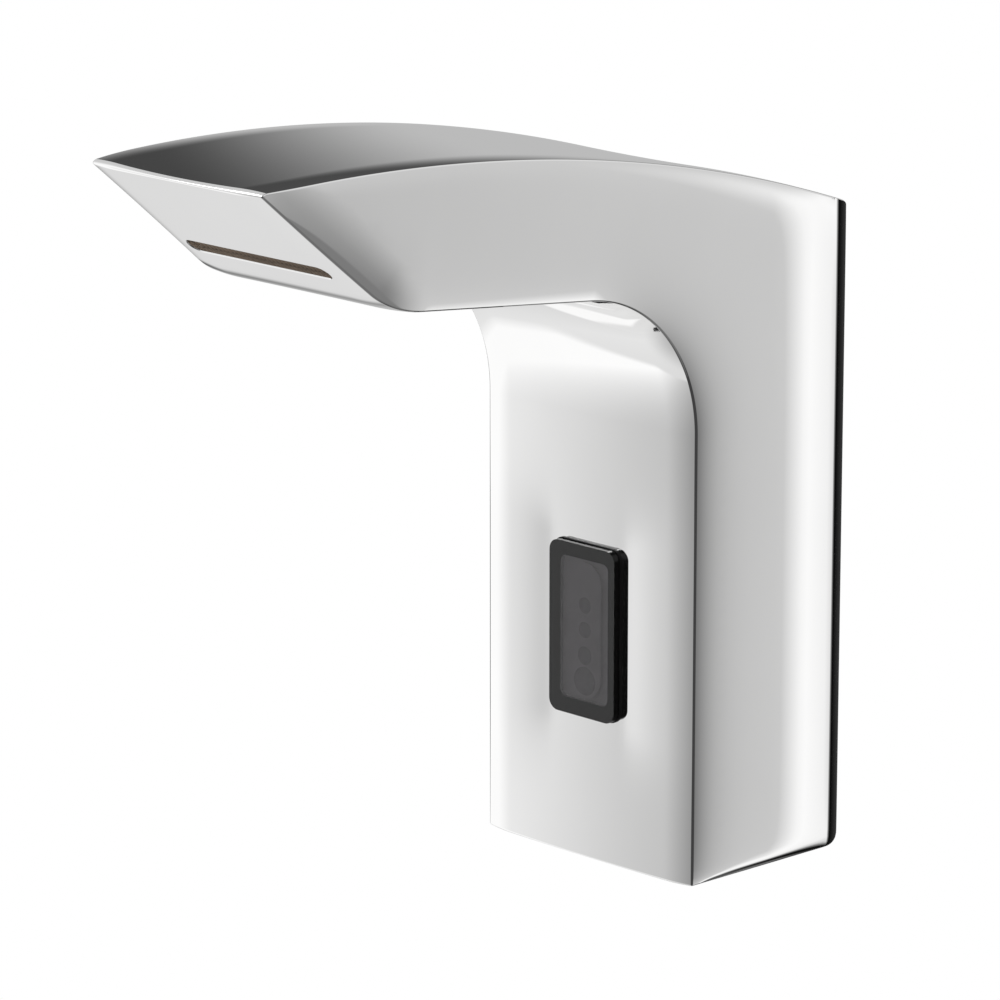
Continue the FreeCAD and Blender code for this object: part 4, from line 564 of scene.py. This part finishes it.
def rear_corner(sign):
    """The rounding between a side and the back: rows upwards, columns towards the wall."""
    rear_y, turns = rear_steps()
    low = BOTTOM_ROUND * (1 - np.cos(turns)) + STRIP_INSET * np.cos(turns)
    high = np.array([top_height(y) for y in rear_y]) - STRIP_INSET * np.cos(turns)
    heights = low[None, :] + (high - low)[None, :] * rear_shares()[:, None]
    y = np.repeat(rear_y[None, :], len(heights), axis=0)
    x = side_half_width(y, heights, SIDE_ROUND * (1 - np.cos(turns))[None, :])
    return np.stack([x * sign, y, heights], axis=-1), turns


def build_rear_corner(skin, sign):
    """Makes the rounding between a side and the back, and returns its line of points on the back."""
    points, turns = rear_corner(sign)
    flat = side_normals(points[..., 1], points[..., 2], 0.0)
    flat[..., 0] *= sign
    normals = flat * np.cos(turns)[None, :, None] + np.array([0, 1.0, 0]) * np.sin(turns)[None, :, None]
    normals /= np.linalg.norm(normals, axis=-1, keepdims=True)
    skin.grid(points, normals)
    return points[:, -1]


def opening_loop():
    """Outline (x, z) of the rear opening."""
    loop = []
    low, high, half = OPENING_BOTTOM, OPENING_TOP, OPENING_HALF_WIDTH
    for x, z, start in ((half, high, 0), (-half, high, 90), (-half, low, 180), (half, low, 270)):
        centre_x = x - math.copysign(OPENING_ROUND, x)
        centre_z = z - OPENING_ROUND if z == high else z + OPENING_ROUND
        for turn in np.radians(np.linspace(start, start + 90, 7)):
            spoke_x, spoke_z = OPENING_ROUND * math.cos(turn), OPENING_ROUND * math.sin(turn)
            loop.append((centre_x + spoke_x, centre_z + spoke_z))
    return loop


def in_opening(x, z):
    """True inside the rear opening, which has rounded corners."""
    from_side = OPENING_HALF_WIDTH - abs(x)
    from_end = (OPENING_TOP - OPENING_BOTTOM) / 2 - abs(z - (OPENING_TOP + OPENING_BOTTOM) / 2)
    if min(from_side, from_end) <= 0:
        return False
    if max(from_side, from_end) >= OPENING_ROUND:
        return True
    return math.hypot(OPENING_ROUND - from_side, OPENING_ROUND - from_end) <= OPENING_ROUND


def without_repeats(outline, least=0.02):
    """A closed outline less the points that lie on the one before them."""
    kept = []
    for point in outline:
        if not kept or math.dist(point, kept[-1]) > least:
            kept.append(point)
    if math.dist(kept[0], kept[-1]) < least:
        kept.pop()
    return kept


def build_back(skin, right, left, wrap_bottom, wrap_top):
    """The flat ring at the wall and the wall of its opening."""
    runs = (right, wrap_top[::-1], left[::-1], wrap_bottom)
    outer = without_repeats([(p[0], p[2]) for run in runs for p in run])
    hole = opening_loop()
    count, hole_count = len(outer), len(hole)
    edges = [(k, (k + 1) % count) for k in range(count)]
    edges += [(count + k, count + (k + 1) % hole_count) for k in range(hole_count)]
    placed, _, triangles, _, _, _ = delaunay_2d_cdt([Vector(p) for p in outer + hole], edges, [], 1, 1e-6)
    back = np.array([0, 1.0, 0])
    for triangle in triangles:
        corners = [np.array([placed[k].x, BACK, placed[k].y]) for k in triangle]
        middle = np.mean(corners, axis=0)
        if not in_opening(middle[0], middle[2]):
            skin.face(corners, [back] * 3)
    deep = BACK - OPENING_DEPTH
    for (x, z), (next_x, next_z) in zip(hole, hole[1:] + hole[:1]):
        if (next_x, next_z) == (x, z):
            continue
        inward = unit(np.array([z - next_z, 0, next_x - x]))
        quad = ((x, BACK, z), (next_x, BACK, next_z), (next_x, deep, next_z), (x, deep, z))
        skin.face([np.array(corner) for corner in quad], [inward] * 4)


def slot_axes():
    """Middle of the water slot, and the ways down the nose face, across it and into it."""
    way, inward = np.array([0, *NOSE_WAY]), np.array([0, *NOSE_INWARD])
    middle = np.array([0, -REACH_MIDDLE, TIP_HEIGHT]) + way * SLOT_OFFSET
    return middle, way, np.array([1.0, 0, 0]), inward


def window_patch(middle_column):
    """Rows and columns of the skin's grid that the sensor window takes out."""
    rows = tuple(nearest_row("face", WINDOW_HEIGHT + d, 1) for d in (-WINDOW_HALF[1], WINDOW_HALF[1]))
    return rows, (middle_column - WINDOW_COLUMNS, middle_column + WINDOW_COLUMNS)


def slot_patch(rows_x, middle_column):
    """Rows and columns of the skin's grid that the water slot takes out."""
    middle, way, _, _ = slot_axes()
    rows = tuple(nearest_row("nose", (middle + way * d)[1], 0) for d in (SLOT_PATCH[1], -SLOT_PATCH[1]))
    column = int(np.argmin(np.abs(rows_x[rows[0]] - SLOT_PATCH[0])))
    return rows, (2 * middle_column - column, column)


def screw_patch(rows_x, x):
    """Rows and columns of the skin's grid that the hole of a set screw takes out."""
    rows = tuple(nearest_row("bottom", GRUB_PLACE[1] + d, 0) for d in (GRUB_PATCH_REAR, -GRUB_PATCH_FRONT))
    row = rows_x[rows[1]]
    ends = (x - GRUB_PATCH_HALF, x + GRUB_PATCH_HALF)
    return rows, tuple(int(np.argmin(np.abs(row - end))) for end in ends)


def build_wrap(skin):
    """The surface that runs round the body, with its window, slot and screw holes."""
    rows_x = np.array([columns(w) for w in outline_half_width(EDGE_POINTS)])
    sheet = wrap_normals(rows_x, MIDDLE_POINTS, EDGE_POINTS, EDGE_NORMALS)
    middle_column = rows_x.shape[1] // 2
    slot = slot_patch(rows_x, middle_column)
    screws = {x: screw_patch(rows_x, x) for x in (-GRUB_PLACE[0], GRUB_PLACE[0])}
    holes = [window_patch(middle_column), slot, *screws.values()]

    def skip(i, j):
        return any(r[0] <= i < r[1] and c[0] <= j < c[1] for r, c in holes)

    skin.grid(*sheet, skip)
    punched_hole(skin, sheet, slot, slot_axes(), SLOT_HALF, SLOT_RADIUS, SLOT_DEPTH)
    right, rear, up = np.eye(3)
    for x, patch in screws.items():
        centre = np.array([x, GRUB_PLACE[1], SOFT_ROLL])
        punched_hole(skin, sheet, patch, (centre, rear, right, up), 0.0, GRUB_RADIUS, GRUB_DEPTH)
    return sheet


def build_flow_strip():
    """The ribbed brown strip just inside the water slot."""
    ribs, level, swing, play, thickness = 34, 1.5, 0.3, 0.05, 0.8
    half, height = SLOT_HALF + SLOT_RADIUS - play, SLOT_RADIUS - play
    places = np.linspace(-half, half, ribs * 6 + 1)
    middle, way, _, inward = slot_axes()
    strip = Skin()
    rows = []
    for x in places:
        beyond = max(abs(x) - SLOT_HALF, 0.0)
        reach = math.sqrt(max(height**2 - beyond**2, 0.01))
        turn = 2 * math.pi * ribs * (x + half) / (2 * half)
        depth = level + swing * math.cos(turn)
        lean = swing * math.sin(turn) * math.pi * ribs / half
        normal = unit(np.array([-lean, 0, 0]) - inward)
        across = [middle + [x, 0, 0] + way * v + inward * depth for v in np.linspace(-reach, reach, 5)]
        rows.append([(point, normal) for point in across])
    points = np.array([[p for p, _ in row] for row in rows])
    normals = np.array([[n for _, n in row] for row in rows])
    strip.grid(points, normals)
    back = points + inward * thickness
    strip.grid(back, np.broadcast_to(inward, back.shape))
    piece = strip.mesh("flow_strip")
    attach(piece, "tap")
    return piece


def build_strips(skin, points, normals):
    """Narrow bevels that close the gap between the wrap and the two sides."""
    fore = EDGE_POINTS[:, 0] <= SIDE_END
    inner = EDGE_POINTS - EDGE_NORMALS * STRIP_INSET
    x = side_half_width(inner[:, 0], inner[:, 1], None)
    for sign, column in ((1, -1), (-1, 0)):
        side = np.stack([x * sign, inner[:, 0], inner[:, 1]], axis=-1)
        for k in range(len(EDGE_POINTS) - 1):
            if not (fore[k] and fore[k + 1]):
                continue
            quad = [points[k][column], points[k + 1][column], side[k + 1], side[k]]
            here, ahead = unit(normals[k][column]), unit(normals[k + 1][column])
            skin.face(quad, [here, ahead, ahead, here])


def build_body():
    """The chrome body in place of the CAD's casting."""
    skin = Skin()
    points, normals = build_wrap(skin)
    build_strips(skin, points, normals)
    for sign in (1, -1):
        build_side(skin, sign)
    right = build_rear_corner(skin, 1)
    left = build_rear_corner(skin, -1)
    build_mitres(skin, points, normals)
    build_back(skin, right, left, points[0], points[-1])
    body = skin.mesh("chrome_body")
    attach(body, "tap")
    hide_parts("spout_body")
    return body


def build_mitres(skin, points, normals):
    """Closes the seam between the rear corners and the bottom and top roundings."""
    for sign, column in ((1, -1), (-1, 0)):
        corner, _ = rear_corner(sign)
        for wrap_rows, row in ((bottom_rows(), corner[0]), (top_rows(), corner[-1])):
            for (i0, k0), (i1, k1) in zip(wrap_rows, wrap_rows[1:]):
                quad = [points[i0][column], points[i1][column], row[k1], row[k0]]
                here, ahead = normals[i0][column], normals[i1][column]
                skin.face(quad, [here, ahead, ahead, here])


def bottom_rows():
    """Pairs of a row of the wrap's bottom rounding and the column of the rear corner beside it."""
    rear_y, _ = rear_steps()
    rows = [i for i, name in enumerate(RUN) if name == "bottom_arc"]
    rows.append(rows[-1] + 1)
    return list(zip(rows, range(len(rear_y) - 1, -1, -1)))


def top_rows():
    """Pairs of a row of the wrap's top rounding and the column of the rear corner beside it."""
    rear_y, _ = rear_steps()
    count = len(RUN)
    return [(count - len(rear_y) + k, k) for k in range(len(rear_y))]


# ---------------------------------------------------------------- springs, each wound at one length

# name of the spring, its joint, fixed end, moving end, radius outside the wire, wire, turns and stroke
SPRINGS = [
    ("plunger_spring", "plunger_slide", (0, -22.5, -46.0), (0, -22.5, -36.0), 2.514, 0.57, 6, 2.4),
    ("check_valve_spring", "poppet_slide", (0, -5.0, 0), (0, 0.0, 0), 4.8, 0.6, 3, 2.0),
]
RING_SIDES, STEPS_PER_TURN = 10, 32


def coil(name, fixed, moving, outside, wire, turns):
    """A round wire wound from one end to the other."""
    fixed, moving = np.array(fixed, float), np.array(moving, float)
    axis = unit(moving - fixed)
    across = np.array([1.0, 0, 0])
    third = np.cross(axis, across)
    mean, thickness = outside - wire / 2, wire / 2
    length = np.linalg.norm(moving - fixed) - wire
    count = turns * STEPS_PER_TURN + 1
    points, faces = [], []
    for k in range(count):
        turn = 2 * math.pi * k / STEPS_PER_TURN
        spoke = across * math.cos(turn) + third * math.sin(turn)
        centre = fixed + axis * (thickness + length * k / (count - 1)) + spoke * mean
        for side in range(RING_SIDES):
            tilt = 2 * math.pi * side / RING_SIDES
            points.append((centre + (spoke * math.cos(tilt) + axis * math.sin(tilt)) * thickness) * MM)
    for k in range(count - 1):
        for side in range(RING_SIDES):
            here, after = k * RING_SIDES, (k + 1) * RING_SIDES
            ahead = (side + 1) % RING_SIDES
            faces.append((here + side, here + ahead, after + ahead, after + side))
    faces.append(tuple(range(RING_SIDES))[::-1])
    faces.append(tuple(range(len(points) - RING_SIDES, len(points))))
    data = bpy.data.meshes.new(name)
    data.from_pydata([tuple(p) for p in points], [], faces)
    data.polygons.foreach_set("use_smooth", [True] * (len(faces) - 2) + [False, False])
    piece = bpy.data.objects.new(name, data)
    bpy.context.collection.objects.link(piece)
    return piece


def build_springs(finish):
    """Springs in place of the CAD's, each wound at one length."""
    for node, joint, fixed, moving, outside, wire, turns, stroke in SPRINGS:
        piece = coil(node + "_wire", fixed, moving, outside, wire, turns)
        piece.data.materials.append(finish)
        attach(piece, "tap")
        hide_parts(node)
        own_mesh(piece)


# ---------------------------------------------------------------- materials


class Nodes:
    """A short way to write a material's nodes."""

    def __init__(self, name):
        self.material = bpy.data.materials.new(name)
        self.material.use_nodes = True
        self.tree = self.material.node_tree
        self.shader = self.tree.nodes["Principled BSDF"]
        self.place = self.add("ShaderNodeTexCoord").outputs["Object"]

    def add(self, kind, **values):
        node = self.tree.nodes.new(kind)
        for name, value in values.items():
            if name in node.inputs:
                node.inputs[name].default_value = value
            else:
                setattr(node, name, value)
        return node

    def link(self, source, target):
        self.tree.links.new(source, target)

    def noise(self, scale, detail=3.0, stretch=(1, 1, 1)):
        mapping = self.add("ShaderNodeMapping")
        mapping.inputs["Scale"].default_value = stretch
        self.link(self.place, mapping.inputs["Vector"])
        noise = self.add("ShaderNodeTexNoise")
        noise.inputs["Scale"].default_value = scale
        noise.inputs["Detail"].default_value = detail
        self.link(mapping.outputs["Vector"], noise.inputs["Vector"])
        return noise.outputs["Fac"]

    def ramp(self, source, low, high, start=0.3, end=0.7):
        ramp = self.add("ShaderNodeValToRGB")
        ramp.color_ramp.elements[0].position = start
        ramp.color_ramp.elements[1].position = end
        ramp.color_ramp.elements[0].color = (*low, 1)
        ramp.color_ramp.elements[1].color = (*high, 1)
        self.link(source, ramp.inputs["Fac"])
        return ramp.outputs["Color"]

    def spread(self, source, low, high):
        """Stretches a noise over a range of values."""
        spread = self.add("ShaderNodeMapRange")
        spread.inputs["From Min"].default_value = 0.3
        spread.inputs["From Max"].default_value = 0.7
        spread.inputs["To Min"].default_value = low
        spread.inputs["To Max"].default_value = high
        self.link(source, spread.inputs["Value"])
        return spread.outputs["Result"]

    def bump(self, source, distance, strength=0.3):
        bump = self.add("ShaderNodeBump")
        bump.inputs["Strength"].default_value = strength
        bump.inputs["Distance"].default_value = distance
        self.link(source, bump.inputs["Height"])
        self.link(bump.outputs["Normal"], self.shader.inputs["Normal"])


def surface(
    name, colour, roughness, metallic=0.0, grain=900.0, relief=0.00003, shade=0.12, stretch=(1, 1, 1),
    coat=0.0, gloss=0.5,
):
    """A finish with slight colour variation, uneven gloss and a fine relief."""
    build = Nodes(name)
    broad = build.noise(60.0, 4.0, stretch)
    fine = build.noise(grain, 3.0, stretch)
    low = tuple(c * (1 - shade) for c in colour)
    high = tuple(min(1.0, c * (1 + shade)) for c in colour)
    build.link(build.ramp(broad, low, high), build.shader.inputs["Base Color"])
    rough = build.spread(fine, roughness * 0.8, min(1.0, roughness * 1.25))
    build.link(rough, build.shader.inputs["Roughness"])
    build.bump(fine, relief)
    build.shader.inputs["Metallic"].default_value = metallic
    build.shader.inputs["Specular IOR Level"].default_value = gloss
    if coat:
        build.shader.inputs["Coat Weight"].default_value = coat
        build.shader.inputs["Coat Roughness"].default_value = 0.08
    return build.material


def chrome():
    """Polished chrome: nearly clean, with faint wiping marks in the gloss."""
    build = Nodes("chrome_plate")
    broad = build.noise(25.0, 4.0)
    wipe = build.noise(220.0, 2.0, (1.0, 1.0, 0.12))
    tone = build.ramp(broad, (0.965, 0.963, 0.96), (0.985, 0.983, 0.98))
    build.link(tone, build.shader.inputs["Base Color"])
    build.link(build.spread(wipe, 0.015, 0.045), build.shader.inputs["Roughness"])
    build.shader.inputs["Metallic"].default_value = 1.0
    return build.material


def smoked_window():
    """Dark clear plastic that the sensor looks through."""
    build = Nodes("smoked_window")
    haze = build.noise(500.0, 2.0)
    tone = build.ramp(haze, (0.70, 0.68, 0.70), (0.74, 0.72, 0.74))
    build.link(tone, build.shader.inputs["Base Color"])
    build.link(build.spread(haze, 0.02, 0.06), build.shader.inputs["Roughness"])
    build.shader.inputs["Transmission Weight"].default_value = 1.0
    build.shader.inputs["IOR"].default_value = 1.58
    return build.material


def make_finishes():
    """One material for each slot of the record."""
    brushed = (1.0, 0.08, 1.0)
    bezel_black = (0.005, 0.0048, 0.005)
    return {
        "black_gloss": surface("bezel_black", bezel_black, 0.45, grain=1400.0, relief=0.00001, gloss=0.25),
        "smoked_window": smoked_window(),
        "carrier_grey": surface("carrier_grey", (0.17, 0.165, 0.17), 0.5),
        "diode_dark": surface("diode_dark", (0.055, 0.052, 0.058), 0.3, gloss=0.3),
        "circuit": surface("circuit_green", (0.02, 0.13, 0.06), 0.35, grain=500.0, shade=0.3),
        "case_black": surface("case_black", (0.03, 0.03, 0.032), 0.5),
        "case_grey": surface("case_grey", (0.20, 0.21, 0.22), 0.5),
        "nozzle_brown": surface("nozzle_brown", (0.22, 0.165, 0.12), 0.45),
        "valve_white": surface("valve_white", (0.70, 0.69, 0.64), 0.4),
        "rubber": surface("rubber_black", (0.02, 0.02, 0.02), 0.7, grain=1600.0, relief=0.00005),
        "hose": surface("hose_rubber", (0.10, 0.10, 0.105), 0.55, grain=700.0, relief=0.00006),
        "lead_sleeve": surface("lead_sleeve", (0.03, 0.03, 0.032), 0.45),
        "steel": surface("stainless_steel", (0.60, 0.59, 0.57), 0.26, 1.0, 1200.0, 0.00002, 0.06, brushed),
        "iron": surface("plated_iron", (0.45, 0.45, 0.46), 0.34, 1.0, 700.0, 0.00003, 0.12),
        "brass": surface("machined_brass", (0.72, 0.53, 0.26), 0.24, 1.0, 1000.0, 0.00002, 0.10, brushed),
        "coil_resin": surface("coil_resin", (0.02, 0.05, 0.14), 0.25, coat=0.3),
        "battery_sleeve": surface("battery_sleeve", (0.05, 0.07, 0.10), 0.22, grain=600.0, coat=0.4),
        "chrome": chrome(),
    }


def dress_nodes(finishes):
    for entry in frame["record"]["subparts"]:
        piece = NODES[entry["node"]]
        piece.data.materials.clear()
        piece.data.materials.append(finishes[entry["material_slot"]])


# ---------------------------------------------------------------- camera, floor and light


# the photo's point of view, found from the straight edges of the body
CAMERA_PLACE = (0.9579, -1.0395, 0.3271)
CAMERA_AZIMUTH, CAMERA_ELEVATION = math.radians(45.41), math.radians(14.26)
CAMERA_LENS = 194.4


def place_camera():
    data = bpy.data.cameras.new("photo_camera")
    data.sensor_width = 36.0
    data.lens = CAMERA_LENS
    data.clip_end = 50.0
    camera = bpy.data.objects.new("photo_camera", data)
    bpy.context.collection.objects.link(camera)
    level, drop = math.cos(CAMERA_ELEVATION), math.sin(CAMERA_ELEVATION)
    forward = Vector((-math.sin(CAMERA_AZIMUTH) * level, math.cos(CAMERA_AZIMUTH) * level, -drop))
    right = Vector((math.cos(CAMERA_AZIMUTH), math.sin(CAMERA_AZIMUTH), 0.0))
    up = right.cross(forward)
    turn = Matrix((right, up, -forward)).transposed().to_4x4()
    camera.matrix_world = Matrix.Translation(Vector(CAMERA_PLACE)) @ turn
    bpy.context.scene.camera = camera


# Brightness of the studio round the tap, seen in polished metal: (azimuth in degrees from +X, brightness).
# Round from the left by the front: a white screen that falls off, a black flag, a grey wall, a strip lamp,
# a dark corner and a backdrop.
STUDIO_FRONT = [
    (-170, 1.0), (-150, 1.0), (-130, 0.6), (-95, 0.05), (-5, 0.05), (30, 0.45), (45, 0.6), (50, 1.0),
    (55, 0.9), (60, 0.2), (65, 0.0), (125, 0.05), (130, 0.5), (140, 0.5),
]
# on the left behind the tap there is a dark gap at eye level and a pale table further down
STUDIO_LEVEL = [(-180, 0.0), (-175, 0.05), *STUDIO_FRONT, (145, 0.05), (180, 0.0)]
STUDIO_TABLE = [(-180, 0.8), *STUDIO_FRONT, (145, 0.3), (150, 0.7), (180, 0.8)]
# overhead: the screen's upper part, a dim front, a bright ceiling behind and a dark flag on the left of it
STUDIO_HIGH = [
    (-180, 0.7), (-150, 1.0), (-125, 1.0), (-100, 0.3), (-40, 0.3), (90, 0.75), (120, 0.1), (145, 0.05),
    (150, 0.6), (180, 0.7),
]
# the table ends in a sharp edge, and the floor under it gets darker further down
STUDIO_FLOOR = [
    (-180, 0.8), (-120, 0.7), (-95, 0.05), (-50, 0.05), (-20, 0.2), (45, 0.2), (80, 0.05), (150, 0.7),
    (180, 0.8),
]
STUDIO_LOW = [
    (-180, 0.4), (-150, 0.4), (-95, 0.05), (-50, 0.05), (-20, 0.15), (45, 0.15), (80, 0.05), (150, 0.4),
    (180, 0.4),
]
# each band is the pair of heights, in degrees over the horizon, between which one ring turns into the next
HIGH_BAND, TABLE_BAND, FLOOR_BAND, LOW_BAND = (0.0, 15.0), (-20.0, -30.0), (-45.0, -47.0), (-50.0, -65.0)
WHITE = (1.0, 1.0, 1.0, 1.0)
DIFFUSE_STRENGTH = 0.75


def studio_ramp(tree, azimuth, stops):
    """One ring of the studio: its brightness by azimuth."""
    ramp = tree.nodes.new("ShaderNodeValToRGB")
    elements = ramp.color_ramp.elements
    while len(elements) < len(stops):
        elements.new(0.5)
    for element, (angle, bright) in zip(elements, stops):
        element.position = (angle + 180) / 360
        element.color = (bright, bright, bright, 1)
    tree.links.new(azimuth, ramp.inputs["Fac"])
    return ramp.outputs["Color"]


def mix_colour(tree, share, first, second):
    """Mixes two colours, each a fixed one or a node's output."""
    mix = tree.nodes.new("ShaderNodeMix")
    mix.data_type = "RGBA"
    tree.links.new(share, mix.inputs["Factor"])
    for socket, source in (("A", first), ("B", second)):
        target = [entry for entry in mix.inputs if entry.name == socket and entry.type == "RGBA"][0]
        if isinstance(source, tuple):
            target.default_value = source
        else:
            tree.links.new(source, target)
    return [entry for entry in mix.outputs if entry.type == "RGBA"][0]


def band_share(tree, height, band):
    """How far a direction's height is through a band, from 0 to 1."""
    share = tree.nodes.new("ShaderNodeMapRange")
    share.interpolation_type = "SMOOTHSTEP"
    share.inputs["From Min"].default_value = math.sin(math.radians(band[0]))
    share.inputs["From Max"].default_value = math.sin(math.radians(band[1]))
    tree.links.new(height, share.inputs["Value"])
    return share.outputs["Result"]


def maths(tree, operation, first, second):
    """A sum on two values, each a number or a node's output."""
    node = tree.nodes.new("ShaderNodeMath")
    node.operation = operation
    for target, source in zip(node.inputs, (first, second)):
        if isinstance(source, float):
            target.default_value = source
        else:
            tree.links.new(source, target)
    return node.outputs[0]


def studio_colour(tree):
    """The studio's rings, one over the other."""
    way = tree.nodes.new("ShaderNodeTexCoord").outputs["Generated"]
    parts = tree.nodes.new("ShaderNodeSeparateXYZ")
    tree.links.new(way, parts.inputs[0])
    turn = maths(tree, "ARCTAN2", parts.outputs["Y"], parts.outputs["X"])
    azimuth = tree.nodes.new("ShaderNodeMapRange")
    azimuth.inputs["From Min"].default_value = -math.pi
    azimuth.inputs["From Max"].default_value = math.pi
    tree.links.new(turn, azimuth.inputs["Value"])
    level, table, high, ground, low = (
        studio_ramp(tree, azimuth.outputs["Result"], stops)
        for stops in (STUDIO_LEVEL, STUDIO_TABLE, STUDIO_HIGH, STUDIO_FLOOR, STUDIO_LOW)
    )
    studio = mix_colour(tree, band_share(tree, parts.outputs["Z"], HIGH_BAND), level, high)
    down = maths(tree, "MULTIPLY", parts.outputs["Z"], -1.0)
    for band, below in ((TABLE_BAND, table), (FLOOR_BAND, ground), (LOW_BAND, low)):
        share = band_share(tree, down, (-band[0], -band[1]))
        studio = mix_colour(tree, share, studio, below)
    return studio


def light_world():
    """Even white light, a white background for the camera, and the studio for reflections."""
    world = bpy.data.worlds.new("studio")
    bpy.context.scene.world = world
    world.use_nodes = True
    tree = world.node_tree
    background = tree.nodes["Background"]
    path = tree.nodes.new("ShaderNodeLightPath")
    colour = mix_colour(tree, path.outputs["Is Glossy Ray"], WHITE, studio_colour(tree))
    tree.links.new(colour, background.inputs["Color"])
    seen = path.outputs["Is Camera Ray"]
    for kind in ("Is Glossy Ray", "Is Transmission Ray"):
        seen = maths(tree, "MAXIMUM", seen, path.outputs[kind])
    strength = tree.nodes.new("ShaderNodeMapRange")
    strength.inputs["To Min"].default_value = DIFFUSE_STRENGTH
    strength.inputs["To Max"].default_value = 1.0
    tree.links.new(seen, strength.inputs["Value"])
    tree.links.new(strength.outputs["Result"], background.inputs["Strength"])


def soft_lamp(name, place, aim, size, power):
    """A lamp with a flat face, turned towards a point."""
    data = bpy.data.lights.new(name, "AREA")
    data.shape = "RECTANGLE"
    data.size, data.size_y = size
    data.energy = power
    lamp = bpy.data.objects.new(name, data)
    bpy.context.collection.objects.link(lamp)
    lamp.location = place
    lamp.rotation_euler = (Vector(aim) - Vector(place)).to_track_quat("-Z", "Y").to_euler()


def floor_disc():
    """A round pale floor far below the tap."""
    radius, level, sides = 1.5, -1.6, 64
    data = bpy.data.meshes.new("studio_floor")
    turns = [2 * math.pi * k / sides for k in range(sides)]
    rim = [(radius * math.cos(t), radius * math.sin(t), level) for t in turns]
    data.from_pydata(rim, [], [tuple(range(sides))])
    floor = bpy.data.objects.new("studio_floor", data)
    bpy.context.collection.objects.link(floor)
    build = Nodes("floor_white")
    tone = build.noise(2.0, 3.0)
    colour = build.ramp(tone, (0.80, 0.80, 0.80), (0.84, 0.84, 0.84))
    build.link(colour, build.shader.inputs["Base Color"])
    build.shader.inputs["Roughness"].default_value = 0.9
    data.materials.append(build.material)
    # polished metal shows the studio's own ground instead, so that the edges keep their dark lines
    floor.visible_glossy = False


bpy.context.scene.view_settings.view_transform = "Standard"
finishes = make_finishes()
dress_nodes(finishes)
body = build_body()
body.data.materials.append(finishes["chrome"])
flow_strip = build_flow_strip()
flow_strip.data.materials.append(finishes["nozzle_brown"])
build_springs(finishes["steel"])
place_camera()
light_world()
floor_disc()
soft_lamp("key", (-1.2, -1.6, 1.6), (0, -0.1, 0), (1.2, 1.2), 12.0)
